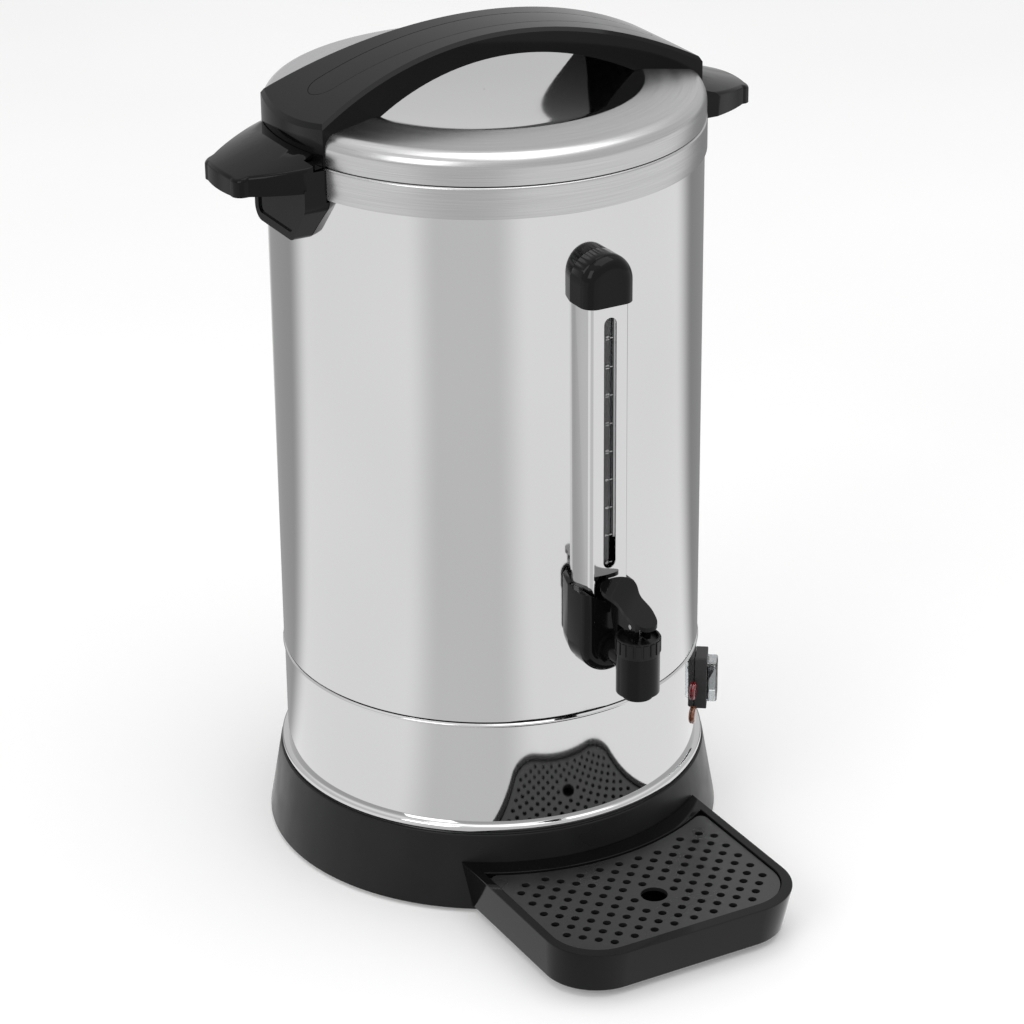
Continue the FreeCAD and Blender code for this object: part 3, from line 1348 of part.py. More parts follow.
def grille_hole_places():
    """Staggered rows of drain holes that stay inside the plate's margin."""
    places = []
    half = tray_half_width - tray_rim
    front = tray_front_y + tray_front_rim
    step = hole_pitch / 2
    for row in range(-6, 8):
        for col in range(-11, 12):
            if (row + col) % 2:
                continue
            x, y = col * step, drain_y + row * step
            margin = 8.0
            corner_x = abs(x) - (half - grille_corner)
            corner_y = (front + grille_corner) - y
            inside = abs(x) < half - margin and y > front + margin
            if corner_x > 0 and corner_y > 0:
                inside = math.hypot(corner_x, corner_y) < grille_corner - margin
            clear_back = math.hypot(x, y) > grille_back_radius + margin
            clear_drain = math.hypot(x, y - drain_y) > drain_radius + hole_radius + 1
            if inside and clear_back and clear_drain:
                places.append((x, y))
    return places


def make_drip_grille():
    top = tray_top_z - grille_drop
    half = tray_half_width - tray_rim - grille_gap
    plate = tray_block(half, tray_front_y + tray_front_rim + grille_gap, grille_corner, top - grille_thick, top)
    plate = plate.cut(disc(grille_back_radius + grille_gap, 0, tray_top_z + beyond))
    plate = rounded(plate, 5.0, lambda p: abs(abs(p.x) - half) < 0.01 and p.y > -skirt_bottom_radius - 4
                    and abs(p.z - top + grille_thick / 2) < 0.1)
    tools = [disc(hole_radius, top - 10, top + 5, x, y) for x, y in grille_hole_places()]
    tools.append(disc(drain_radius, top - 10, top + 5, 0, drain_y))
    return plate.cut(Part.makeCompound(tools))


def main():
    save("outer_shell", make_outer_shell())
    save("top_collar", make_top_collar())
    save("inner_tank", make_inner_tank())
    save("lower_band", make_lower_band())
    save("base_skirt", make_base_skirt())
    save("bottom_plate", make_bottom_plate())
    save("rubber_feet", make_rubber_feet())
    save("tie_rods", make_tie_rods())
    save("tie_rod_nuts", make_tie_rod_nuts())
    save("lid_shell", make_lid_shell())
    save("lid_seal", make_lid_seal())
    save("lid_handle", make_lid_handle())
    save("lid_handle_inlay", inlay_tool(inlay_depth, slide_gap))
    save("lid_handle_screws", make_lid_handle_screws())
    handle = make_side_handle()
    save("side_handle_right", handle)
    save("side_handle_left", spun(handle, 180.0))
    save("side_handle_screws", make_side_handle_screws())
    save("gauge_cover", make_gauge_cover())
    save("gauge_glass", make_gauge_glass())
    save("gauge_scale", make_gauge_scale())
    save("gauge_seals", make_gauge_seals())
    save("gauge_cap", make_gauge_cap())
    save("gauge_cap_screw", make_gauge_cap_screw())
    save("tap_shroud", make_tap_shroud())
    save("tap_body", make_tap_body())
    save("tap_bonnet", make_tap_bonnet())
    save("tap_stem", make_tap_stem())
    save("tap_seat_cup", make_tap_seat_cup())
    save("tap_spring", make_tap_spring())
    save("tap_lever", make_tap_lever())
    save("tap_lever_pin", make_tap_lever_pin())
    save("tap_nut", make_tap_nut())
    save("tap_washers", make_tap_washers())
    save("switch_plinth", make_switch_plinth())
    save("switch_body", make_switch_body())
    save("switch_rocker", make_switch_rocker())
    save("switch_cover", make_switch_cover())
    save("switch_terminals", make_switch_terminals())
    save("lamp_red", make_lamp(lamp_red_z))
    save("lamp_amber", make_lamp(lamp_amber_z))
    save("lamp_holders", make_lamp_holders())
    save("inlet_bezel", make_inlet_bezel())
    save("mains_inlet", make_mains_inlet())
    save("inlet_pins", make_inlet_pins())
    save("inlet_screws", make_inlet_screws())
    save("heat_spreader", make_heat_spreader())
    save("heating_element", make_heating_element())
    save("clamp_plate", make_clamp_plate())
    save("clamp_bolt", make_clamp_bolt())
    save("clamp_nut", make_clamp_nut())
    save("keep_warm_thermostat", thermostat(keep_warm_deg))
    save("boil_thermostat", thermostat(boil_deg))
    save("boil_dry_cutout", make_boil_dry_cutout())
    save("reset_button", make_reset_button())
    save("drip_tray", make_drip_tray())
    save("drip_grille", make_drip_grille())


main()
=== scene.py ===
"""Looks of a hot water urn: finishes, turned steel, mouldings, marks, studio and camera."""

import json
import logging
import math
from dataclasses import dataclass, field
from enum import Enum
from typing import Callable, Iterable, Sequence

import bpy
from mathutils import Matrix, Vector


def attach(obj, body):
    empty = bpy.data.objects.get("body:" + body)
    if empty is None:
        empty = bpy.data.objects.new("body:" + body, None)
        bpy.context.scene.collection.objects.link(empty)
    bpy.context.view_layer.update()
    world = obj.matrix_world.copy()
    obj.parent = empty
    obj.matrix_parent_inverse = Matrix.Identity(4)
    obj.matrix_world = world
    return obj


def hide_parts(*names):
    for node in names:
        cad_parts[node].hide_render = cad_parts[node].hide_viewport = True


logging.basicConfig(level=logging.INFO, format="%(message)s")
log = logging.getLogger("urn")

Point = tuple[float, float]
MM = 0.001

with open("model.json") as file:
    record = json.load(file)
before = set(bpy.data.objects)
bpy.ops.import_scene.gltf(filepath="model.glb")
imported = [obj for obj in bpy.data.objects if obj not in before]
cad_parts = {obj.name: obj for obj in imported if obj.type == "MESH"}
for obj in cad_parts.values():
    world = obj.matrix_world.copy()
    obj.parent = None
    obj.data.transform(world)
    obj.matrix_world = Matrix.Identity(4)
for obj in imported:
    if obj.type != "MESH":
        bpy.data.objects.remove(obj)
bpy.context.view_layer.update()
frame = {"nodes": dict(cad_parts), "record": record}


class Body(Enum):
    """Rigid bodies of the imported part."""

    URN = "urn_body"
    SEAL = "lid_seal_ring"
    LID = "lid"
    PLUNGER = "tap_plunger"
    LEVER = "lever"
    ROCKER = "rocker"
    RESET = "reset"
    TRAY = "tray"
    GRILLE = "grille"


class Slot(Enum):
    """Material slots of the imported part."""

    MIRROR = "mirror_steel"
    BRUSHED = "brushed_steel"
    PLAIN = "plain_steel"
    ZINC = "zinc_steel"
    GLOSS = "gloss_black"
    SATIN = "satin_black"
    GREY = "dark_grey"
    CLEAR = "clear"
    RED = "red_lens"
    AMBER = "amber_lens"
    SILICONE = "silicone"
    RUBBER = "rubber"
    ALUMINIUM = "aluminium"
    BRASS = "brass"
    SHEATH = "heater_sheath"
    CERAMIC = "white_ceramic"


class NodeSheet:
    """A material's or a world's node tree, with short calls to add and join nodes."""

    def __init__(self, name: str, world: bpy.types.World | None = None) -> None:
        """Start on a world's nodes, or else on a new material with a Principled shader.

        Args:
            name: name of the material.
            world: the world to work on, if it isn't a material.
        """
        self.material = None if world else bpy.data.materials.new(name)
        owner = world or self.material
        owner.use_nodes = True
        self.tree = owner.node_tree
        self.shader = self.tree.nodes.get("Principled BSDF")

    def add(self, kind: str, **values: object) -> bpy.types.Node:
        """Add a node and set its properties.

        Args:
            kind: Blender's node type.
            values: properties of the node.

        Returns:
            The new node.
        """
        node = self.tree.nodes.new(kind)
        for key, value in values.items():
            setattr(node, key, value)
        return node

    def join(self, start: bpy.types.NodeSocket, end: bpy.types.NodeSocket) -> None:
        """Link two sockets."""
        self.tree.links.new(start, end)

    def place(self, scale: Sequence[float]) -> bpy.types.NodeSocket:
        """Object coordinates stretched by a scale.

        Args:
            scale: factors along X, Y and Z.

        Returns:
            The mapped vector.
        """
        coords = self.add("ShaderNodeTexCoord")
        mapping = self.add("ShaderNodeMapping")
        mapping.inputs["Scale"].default_value = scale
        self.join(coords.outputs["Object"], mapping.inputs["Vector"])
        return mapping.outputs["Vector"]

    def ring_place(self, across: float, along: float) -> bpy.types.NodeSocket:
        """Coordinates that follow circles about the urn's axis.

        Args:
            across: scale of the radius and the height.
            along: scale of the angle.

        Returns:
            The vector of radius, angle and height.
        """
        coords = self.add("ShaderNodeTexCoord")
        parts = self.add("ShaderNodeSeparateXYZ")
        self.join(coords.outputs["Object"], parts.inputs[0])
        square_x = self.math("MULTIPLY", parts.outputs["X"], parts.outputs["X"])
        square_y = self.math("MULTIPLY", parts.outputs["Y"], parts.outputs["Y"])
        radius = self.math("SQRT", self.math("ADD", square_x, square_y), None)
        angle = self.math("ARCTAN2", parts.outputs["Y"], parts.outputs["X"])
        made = self.add("ShaderNodeCombineXYZ")
        self.join(self.math("MULTIPLY", radius, across), made.inputs["X"])
        self.join(self.math("MULTIPLY", angle, along), made.inputs["Y"])
        self.join(self.math("MULTIPLY", parts.outputs["Z"], across), made.inputs["Z"])
        return made.outputs["Vector"]

    def math(self, operation: str, first: object, second: object) -> bpy.types.NodeSocket:
        """One step of arithmetic on sockets or numbers.

        Args:
            operation: Blender's name of the operation.
            first: socket or number.
            second: socket, number or None.

        Returns:
            The result.
        """
        node = self.add("ShaderNodeMath", operation=operation)
        for index, value in enumerate((first, second)):
            if isinstance(value, bpy.types.NodeSocket):
                self.join(value, node.inputs[index])
            elif value is not None:
                node.inputs[index].default_value = value
        return node.outputs[0]

    def noise(self, place: bpy.types.NodeSocket, scale: float, detail: float = 3.0) -> bpy.types.NodeSocket:
        """Noise at a place.

        Args:
            place: vector to read it at.
            scale: number of features a unit.
            detail: octaves.

        Returns:
            The noise's value.
        """
        node = self.add("ShaderNodeTexNoise")
        node.inputs["Scale"].default_value = scale
        node.inputs["Detail"].default_value = detail
        self.join(place, node.inputs["Vector"])
        return node.outputs[0]

    def spread(self, value: bpy.types.NodeSocket, low: float, high: float) -> bpy.types.NodeSocket:
        """Stretch noise from about 0.3 to 0.7 over a range.

        Args:
            value: the noise.
            low: result at the lower end.
            high: result at the upper end.

        Returns:
            The stretched value.
        """
        node = self.add("ShaderNodeMapRange")
        node.inputs["From Min"].default_value = 0.3
        node.inputs["From Max"].default_value = 0.7
        node.inputs["To Min"].default_value = low
        node.inputs["To Max"].default_value = high
        self.join(value, node.inputs["Value"])
        return node.outputs["Result"]

    def bump(self, value: bpy.types.NodeSocket, depth: float, strength: float) -> None:
        """Feed a height to the shader's normal.

        Args:
            value: height.
            depth: its depth in metres.
            strength: share of the effect.
        """
        node = self.add("ShaderNodeBump")
        node.inputs["Strength"].default_value = strength
        node.inputs["Distance"].default_value = depth
        self.join(value, node.inputs["Height"])
        self.join(node.outputs["Normal"], self.shader.inputs["Normal"])

    def tint(self, value: bpy.types.NodeSocket, first: Sequence[float], second: Sequence[float]) -> None:
        """Colour between two tints by a value.

        Args:
            value: mixing value from about 0.3 to 0.7.
            first: colour at the lower end.
            second: colour at the upper end.
        """
        ramp = self.add("ShaderNodeValToRGB")
        ramp.color_ramp.elements[0].position = 0.35
        ramp.color_ramp.elements[1].position = 0.65
        ramp.color_ramp.elements[0].color = (*first, 1.0)
        ramp.color_ramp.elements[1].color = (*second, 1.0)
        self.join(value, ramp.inputs[0])
        self.join(ramp.outputs[0], self.shader.inputs["Base Color"])

    def set(self, **values: object) -> None:
        """Set the shader's own sockets, with underscores for spaces."""
        for key, value in values.items():
            self.shader.inputs[key.replace("_", " ")].default_value = value


@dataclass(frozen=True)
class MirrorSteel:
    """Mirror-polished sheet with faint polishing haze and slight waviness."""

    name: str = "mirror polished steel"
    tone: float = 0.64
    haze_low: float = 0.04
    haze_high: float = 0.07

    def build(self) -> bpy.types.Material:
        """Return the finished material."""
        sheet = NodeSheet(self.name)
        sheet.set(Metallic=1.0)
        lines = sheet.noise(sheet.ring_place(60.0, 180.0), 1.0, 4.0)
        broad = sheet.noise(sheet.place((9.0, 9.0, 5.0)), 1.0, 1.0)
        t = self.tone
        sheet.tint(broad, (t, t, t * 1.005), (t * 1.03, t * 1.03, t * 1.035))
        sheet.join(sheet.spread(lines, self.haze_low, self.haze_high), sheet.shader.inputs["Roughness"])
        sheet.bump(broad, 0.0003, 0.08)
        return sheet.material


@dataclass(frozen=True)
class BrushedSteel:
    """Steel with fine scratches that run in circles about the urn's axis."""

    name: str = "circle brushed steel"
    tone: float = 0.55
    rough: float = 0.24
    grain_pull: float = 0.7

    def build(self) -> bpy.types.Material:
        """Return the finished material."""
        sheet = NodeSheet(self.name)
        sheet.set(Metallic=1.0)
        scratches = sheet.noise(sheet.ring_place(5200.0, 2.2), 1.0, 2.0)
        patches = sheet.noise(sheet.ring_place(120.0, 1.0), 1.0, 1.0)
        t = self.tone
        sheet.tint(scratches, (t * 0.92, t * 0.92, t * 0.93), (t * 1.06, t * 1.06, t * 1.06))
        rough = sheet.spread(patches, self.rough - 0.02, self.rough + 0.03)
        sheet.join(rough, sheet.shader.inputs["Roughness"])
        tangent = sheet.add("ShaderNodeTangent", direction_type="RADIAL", axis="Z")
        sheet.join(tangent.outputs["Tangent"], sheet.shader.inputs["Tangent"])
        sheet.set(Anisotropic=self.grain_pull)
        sheet.bump(scratches, 0.000014, 0.35)
        return sheet.material


@dataclass(frozen=True)
class SheetMetal:
    """Rolled, cast or plated metal with a soft mottle."""

    name: str
    colour: tuple[float, float, float]
    rough: float = 0.35
    grain: float = 300.0

    def build(self) -> bpy.types.Material:
        """Return the finished material."""
        sheet = NodeSheet(self.name)
        sheet.set(Metallic=1.0)
        mottle = sheet.noise(sheet.place((1.0, 1.0, 1.0)), self.grain, 3.0)
        low = tuple(c * 0.86 for c in self.colour)
        sheet.tint(mottle, low, self.colour)
        rough = sheet.spread(mottle, self.rough - 0.06, self.rough + 0.08)
        sheet.join(rough, sheet.shader.inputs["Roughness"])
        sheet.bump(mottle, 0.00005, 0.3)
        return sheet.material


@dataclass(frozen=True)
class Moulding:
    """Moulded plastic or rubber, from high gloss to matt."""

    name: str
    colour: tuple[float, float, float]
    rough: float
    grain: float = 1400.0
    relief: float = 0.00002
    index: float = 1.38
    shine: float = 0.3

    def build(self) -> bpy.types.Material:
        """Return the finished material."""
        sheet = NodeSheet(self.name)
        sheet.set(IOR=self.index, Specular_IOR_Level=self.shine)
        cloud = sheet.noise(sheet.place((1.0, 1.0, 1.0)), 38.0, 2.0)
        grain = sheet.noise(sheet.place((1.0, 1.0, 1.0)), self.grain, 2.0)
        low = tuple(c * 0.85 for c in self.colour)
        sheet.tint(cloud, low, self.colour)
        sheet.join(sheet.spread(cloud, self.rough * 0.85, self.rough * 1.2), sheet.shader.inputs["Roughness"])
        sheet.bump(grain, self.relief, 0.35)
        return sheet.material


@dataclass(frozen=True)
class ClearPlastic:
    """Clear glass or plastic with a trace of haze."""

    name: str = "clear plastic"
    tint_colour: tuple[float, float, float] = (0.95, 0.97, 0.98)
    index: float = 1.45

    def build(self) -> bpy.types.Material:
        """Return the finished material."""
        sheet = NodeSheet(self.name)
        sheet.set(Transmission_Weight=1.0, IOR=self.index)
        haze = sheet.noise(sheet.place((1.0, 1.0, 1.0)), 60.0, 2.0)
        low = tuple(c * 0.97 for c in self.tint_colour)
        sheet.tint(haze, low, self.tint_colour)
        sheet.join(sheet.spread(haze, 0.02, 0.06), sheet.shader.inputs["Roughness"])
        return sheet.material


@dataclass(frozen=True)
class LampLens:
    """Coloured lens that lets a little light through."""

    name: str
    colour: tuple[float, float, float]

    def build(self) -> bpy.types.Material:
        """Return the finished material."""
        sheet = NodeSheet(self.name)
        sheet.set(IOR=1.5, Transmission_Weight=0.35, Coat_Weight=0.6, Coat_Roughness=0.05)
        facets = sheet.add("ShaderNodeTexVoronoi")
        facets.inputs["Scale"].default_value = 520.0
        sheet.join(sheet.place((1.0, 1.0, 1.0)), facets.inputs["Vector"])
        low = tuple(c * 0.6 for c in self.colour)
        sheet.tint(facets.outputs["Distance"], low, self.colour)
        sheet.set(Roughness=0.14)
        sheet.bump(facets.outputs["Distance"], 0.00025, 0.4)
        return sheet.material


@dataclass
class Finishes:
    """All finishes, made once."""

    made: dict[Slot, bpy.types.Material] = field(default_factory=dict)

    def build(self) -> None:
        """Make every finish."""
        recipes = {
            Slot.MIRROR: MirrorSteel(),
            Slot.BRUSHED: BrushedSteel(),
            Slot.PLAIN: SheetMetal("rolled tank steel", (0.6, 0.6, 0.6), 0.3, 220.0),
            Slot.ZINC: SheetMetal("zinc plated steel", (0.62, 0.61, 0.56), 0.36, 420.0),
            Slot.GLOSS: Moulding(
                "gloss black plastic", (0.005, 0.005, 0.0055), 0.07, 900.0, 0.000004, index=1.4, shine=0.22),
            Slot.SATIN: Moulding("satin black plastic", (0.011, 0.011, 0.0115), 0.32, 1500.0, 0.00002),
            Slot.GREY: Moulding("matt dark grey plastic", (0.05, 0.05, 0.052), 0.45, 1700.0, 0.00003),
            Slot.CLEAR: ClearPlastic(),
            Slot.RED: LampLens("red lamp lens", (0.36, 0.006, 0.016)),
            Slot.AMBER: LampLens("amber lamp lens", (0.36, 0.12, 0.045)),
            Slot.SILICONE: Moulding("translucent silicone", (0.72, 0.72, 0.68), 0.4, 700.0),
            Slot.RUBBER: Moulding("black rubber", (0.03, 0.03, 0.03), 0.6, 1200.0, 0.00004),
            Slot.ALUMINIUM: SheetMetal("cast aluminium", (0.72, 0.72, 0.73), 0.42, 260.0),
            Slot.BRASS: SheetMetal("nickelled brass", (0.70, 0.58, 0.30), 0.25, 500.0),
            Slot.SHEATH: SheetMetal("heat darkened sheath", (0.26, 0.24, 0.22), 0.45, 180.0),
            Slot.CERAMIC: Moulding("white phenolic", (0.78, 0.77, 0.72), 0.42, 900.0),
        }
        for slot, recipe in recipes.items():
            self.made[slot] = recipe.build()

    def dress(self, piece: bpy.types.Object, slot: Slot) -> None:
        """Give one piece a single finish.

        Args:
            piece: object to dress.
            slot: the finish's slot.
        """
        piece.data.materials.clear()
        piece.data.materials.append(self.made[slot])

    def dress_frame(self) -> None:
        """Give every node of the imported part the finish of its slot."""
        names = {entry["node"]: entry["material_slot"] for entry in frame["record"]["subparts"]}
        for name, node in frame["nodes"].items():
            for index in range(len(node.data.materials)):
                node.data.materials[index] = self.made[Slot(names[name])]
            if not node.data.materials:
                node.data.materials.append(self.made[Slot(names[name])])


class Bench:
    """Modelling steps shared by the sub-assemblies."""

    @staticmethod
    def clear() -> None:
        """Leave edit mode and deselect everything."""
        if bpy.context.object and bpy.context.object.mode != "OBJECT":
            bpy.ops.object.mode_set(mode="OBJECT")
        bpy.ops.object.select_all(action="DESELECT")

    @staticmethod
    def edit(piece: bpy.types.Object) -> None:
        """Open one object in edit mode with nothing selected."""
        Bench.clear()
        bpy.context.view_layer.objects.active = piece
        piece.select_set(True)
        bpy.ops.object.mode_set(mode="EDIT")
        bpy.ops.mesh.select_all(action="DESELECT")

    @staticmethod
    def turned(name: str, outline: Sequence[Point], steps: int = 224) -> bpy.types.Object:
        """Turn a closed outline about the urn's axis.

        The outline starts as one corner of a plane, is drawn out corner by corner
        by extrusion, and is spun.

        Args:
            name: name of the piece.
            outline: radius and height of each corner, in millimetres.
            steps: number of facets round the axis.

        Returns:
            The turned piece.
        """
        Bench.clear()
        first = outline[0]
        bpy.ops.mesh.primitive_plane_add(size=MM, location=(first[0] * MM, 0, first[1] * MM))
        piece = bpy.context.object
        piece.name = name
        Bench.settle(piece)
        Bench.edit(piece)
        bpy.ops.mesh.select_all(action="SELECT")
        bpy.ops.mesh.merge(type="CENTER")
        for (r0, z0), (r1, z1) in zip(outline, list(outline[1:]) + [outline[0]]):
            step = ((r1 - r0) * MM, 0.0, (z1 - z0) * MM)
            bpy.ops.mesh.extrude_region_move(TRANSFORM_OT_translate={"value": step})
        bpy.ops.mesh.select_all(action="SELECT")
        bpy.ops.mesh.remove_doubles(threshold=1e-6)
        bpy.ops.mesh.spin(steps=steps, angle=math.tau, center=(0, 0, 0), axis=(0, 0, 1), use_auto_merge=True)
        bpy.ops.mesh.select_all(action="SELECT")
        bpy.ops.mesh.remove_doubles(threshold=2e-6)
        bpy.ops.mesh.delete_loose()
        bpy.ops.mesh.select_all(action="SELECT")
        bpy.ops.mesh.normals_make_consistent(inside=False)
        bpy.ops.object.mode_set(mode="OBJECT")
        return piece

    @staticmethod
    def settle(piece: bpy.types.Object) -> None:
        """Put the object's place, turn and size into its mesh."""
        Bench.clear()
        bpy.context.view_layer.objects.active = piece
        piece.select_set(True)
        bpy.ops.object.transform_apply(location=True, rotation=True, scale=True)

    @staticmethod
    def smooth(piece: bpy.types.Object, angle: float = 32.0) -> None:
        """Shade smooth below an angle between faces, in degrees."""
        Bench.clear()
        bpy.context.view_layer.objects.active = piece
        piece.select_set(True)
        bpy.ops.object.shade_smooth_by_angle(angle=math.radians(angle))

    @staticmethod
    def soften(piece: bpy.types.Object, width: float) -> None:
        """Round the edges where faces meet at over 30 degrees, and apply the rounding.

        Args:
            piece: object to work on.
            width: width of the rounding, in millimetres.
        """
        Bench.clear()
        bpy.context.view_layer.objects.active = piece
        piece.select_set(True)
        bevel = piece.modifiers.new("soft edges", "BEVEL")
        bevel.width = width * MM
        bevel.segments = 2
        bevel.limit_method = "ANGLE"
        bevel.angle_limit = math.radians(30.0)
        bevel.use_clamp_overlap = True
        bpy.ops.object.modifier_apply(modifier=bevel.name)

    @staticmethod
    def refined(node: str, width: float) -> bpy.types.Object:
        """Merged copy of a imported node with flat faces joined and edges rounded.

        A copy whose edges stay sharp keeps its faces as they are.

        Args:
            node: name of the node.
            width: rounding of its edges, in millimetres; none when it is zero.

        Returns:
            The new piece, which stands for the node.
        """
        source = frame["nodes"][node]
        piece = bpy.data.objects.new(node + "_finish", source.data.copy())
        bpy.context.scene.collection.objects.link(piece)
        Bench.edit(piece)
        bpy.ops.mesh.select_all(action="SELECT")
        bpy.ops.mesh.remove_doubles(threshold=4e-6)
        if width:
            bpy.ops.mesh.dissolve_limited(angle_limit=math.radians(0.4))
        bpy.ops.object.mode_set(mode="OBJECT")
        if width:
            Bench.soften(piece, width)
        Bench.smooth(piece, 34.0)
        even = piece.modifiers.new("even shading", "WEIGHTED_NORMAL")
        even.keep_sharp = True
        bpy.ops.object.modifier_apply(modifier=even.name)
        return piece


@dataclass
class SubAssembly:
    """Common part of all sub-assemblies."""

    finishes: Finishes

    def fit(self, piece: bpy.types.Object, body: Body, slot: Slot, *nodes: str) -> bpy.types.Object:
        """Dress a piece, mount it on its body and let it stand for its nodes.

        Args:
            piece: the finished mesh.
            body: body that it rides on.
            slot: its finish.
            nodes: nodes that it stands for.

        Returns:
            The piece.
        """
        self.finishes.dress(piece, slot)
        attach(piece, body.value)
        if nodes:
            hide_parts(*nodes)
        log.info("made %s on %s", piece.name, body.value)
        return piece

    def refine(self, entries: Iterable[tuple[str, Body, Slot, float]]) -> None:
        """Finish several nodes in the same way.

        Args:
            entries: node, body, slot and edge rounding of each.
        """
        for node, body, slot, width in entries:
            self.fit(Bench.refined(node, width), body, slot, node)


@dataclass
class SteelBody(SubAssembly):
    """Shell, collar and lower band, turned from sheet."""

    shell_radius: float = 135.0
    shell_bottom: float = 128.5
    shell_top: float = 476.3
    wall: float = 0.8
    collar_radius: float = 136.5
    collar_bottom: float = 458.7
    collar_top: float = 478.3
    band_radius: float = 134.5
    band_bottom: float = 51.0
    rim_radius: float = 138.7
    rim_height: float = 6.0
    bead: float = 1.1
    collar_bend: float = 1.6
    collar_mouth: float = 131.3
    plate: float = 1.2
    ledge: float = 122.0
    inlet_half: float = 13.0
    inlet_low: float = 74.0
    inlet_high: float = 100.0

    def build(self) -> None:
        """Build the turned walls."""
        self.shell()
        self.collar()
        self.band()

    def shell(self) -> None:
        """Outer wall with its lower edge rolled under."""
        r, w, low, top = self.shell_radius, self.wall, self.shell_bottom, self.shell_top
        outline = [(r - 0.35, low), (r - 0.08, low + 0.3), (r, low + 0.9)]
        outline += [(r, low + 0.9 + i * (top - low - 1.2) / 6) for i in range(1, 7)]
        outline += [(r - w, top), (r - w, low)]
        piece = Bench.turned("outer_shell_finish", outline)
        Bench.smooth(piece)
        self.fit(piece, Body.URN, Slot.MIRROR, "outer_shell")

    def collar(self) -> None:
        """Brushed collar with a rolled upper corner."""
        r, low, top = self.collar_radius, self.collar_bottom, self.collar_top
        inner = self.shell_radius + 0.3
        bend = self.collar_bend
        outline = [(inner, low), (r - 0.5, low), (r - 0.15, low + 0.15), (r, low + 0.5), (r, low + 9.0)]
        outline.append((r, top - bend))
        for degrees in (22.5, 45, 67.5, 90):
            angle = math.radians(degrees)
            outline.append((r - bend + bend * math.cos(angle), top - bend + bend * math.sin(angle)))
        outline += [(self.collar_mouth, top), (self.collar_mouth, top - self.plate), (inner, top - self.plate)]
        piece = Bench.turned("top_collar_finish", outline)
        Bench.smooth(piece)
        self.fit(piece, Body.URN, Slot.BRUSHED, "top_collar")

    def band(self) -> None:
        """Polished lower band between its rolled rim and its bead."""
        r, low, top = self.band_radius, self.band_bottom, self.shell_bottom - 1.0
        half = self.rim_height / 2
        outline = [(r - self.wall, low), (self.rim_radius - 1.5, low)]
        for i in range(11):
            angle = math.radians(-60 + 15 * i)
            rim = self.rim_radius - half + half * math.cos(angle)
            outline.append((rim, low + half + half * math.sin(angle)))
        outline += [(r, low + 2 * half + step) for step in (0.0, 12.0, 23.0, 43.0, 60.0)]
        outline.append((r, top - 2.6 * self.bead))
        for i in range(1, 8):
            angle = math.radians(-90 + 22.5 * i)
            height = top - 1.4 * self.bead + self.bead * math.sin(angle)
            outline.append((r + self.bead * math.cos(angle), height))
        outline += [(r, top), (self.ledge, top), (self.ledge, top - self.plate), (r - self.wall, top - self.plate)]
        outline += [(r - self.wall, low + 2 * half + step) for step in (43.0, 17.0)]
        piece = Bench.turned("lower_band_finish", outline)
        self.open_inlet(piece)
        Bench.smooth(piece, 30.0)
        self.fit(piece, Body.URN, Slot.MIRROR, "lower_band")

    def open_inlet(self, piece: bpy.types.Object) -> None:
        """Take out the faces of the band that lie behind the mains inlet's socket."""
        Bench.edit(piece)
        bpy.ops.object.mode_set(mode="OBJECT")
        for face in piece.data.polygons:
            spot = face.center / MM
            beside = spot.y > 0.0 and abs(spot.x) < self.inlet_half
            face.select = beside and self.inlet_low < spot.z < self.inlet_high
        bpy.ops.object.mode_set(mode="EDIT")
        bpy.ops.mesh.delete(type="FACE")
        bpy.ops.object.mode_set(mode="OBJECT")


@dataclass
class Lid(SubAssembly):
    """Steel lid with its handle and strip."""

    radius: float = 136.0
    bottom: float = 478.6
    wall_top: float = 488.0
    shoulder_radius: float = 127.0
    shoulder: float = 498.0
    crease_radius: float = 98.0
    crease: float = 501.0
    dish: float = 7.0
    wall: float = 0.8
    hem_radius: float = 127.5

    def build(self) -> None:
        """Build the sheet and finish the mouldings."""
        self.sheet()
        self.refine([
            ("lid_handle", Body.LID, Slot.GLOSS, 0.7),
            ("lid_handle_inlay", Body.LID, Slot.GLOSS, 0.3),
            ("lid_seal", Body.SEAL, Slot.SILICONE, 0.3),
        ])

    def outer_line(self) -> list[Point]:
        """Return the lid's outer line from the rolled hem to the middle."""
        r, low, top = self.radius, self.bottom, self.wall_top
        line = [(r - 1.0, low), (r - 0.3, low + 0.3), (r, low + 1.0), (r, top)]
        for i in range(1, 13):
            angle = math.radians(7.5 * i)
            line.append((self.shoulder_radius + (r - self.shoulder_radius) * math.cos(angle),
                         top + (self.shoulder - top) * math.sin(angle)))
        line.append((self.crease_radius + 1.2, self.crease - 0.12))
        line.append((self.crease_radius, self.crease - 0.1))
        for i in range(1, 15):
            share = 1.0 - i / 14.0
            height = self.crease - self.dish * (1.0 - share * share)
            line.append((max(self.crease_radius * share, 0.4), height))
        return line

    def sheet(self) -> None:
        """Lid with a brushed ring and a polished dished middle."""
        outer = self.outer_line()
        r, w, low = self.radius, self.wall, self.bottom
        inner = [(self.crease_radius * s, self.crease - w - self.dish * (1 - s * s)) for s in (0.004, 0.3, 0.6, 1.0)]
        inner += [(self.shoulder_radius, self.shoulder - w), (r - 3.4, self.wall_top + 5.0),
                  (r - w, self.wall_top), (r - w, low + w), (self.hem_radius, low + w), (self.hem_radius, low)]
        piece = Bench.turned("lid_shell_finish", outer + inner)
        Bench.smooth(piece, 30.0)
        self.fit(piece, Body.LID, Slot.BRUSHED, "lid_shell")
        piece.data.materials.append(self.finishes.made[Slot.MIRROR])
        for face in piece.data.polygons:
            centre = face.center
            if math.hypot(centre.x, centre.y) < (self.crease_radius + 0.2) * MM:
                face.material_index = 1


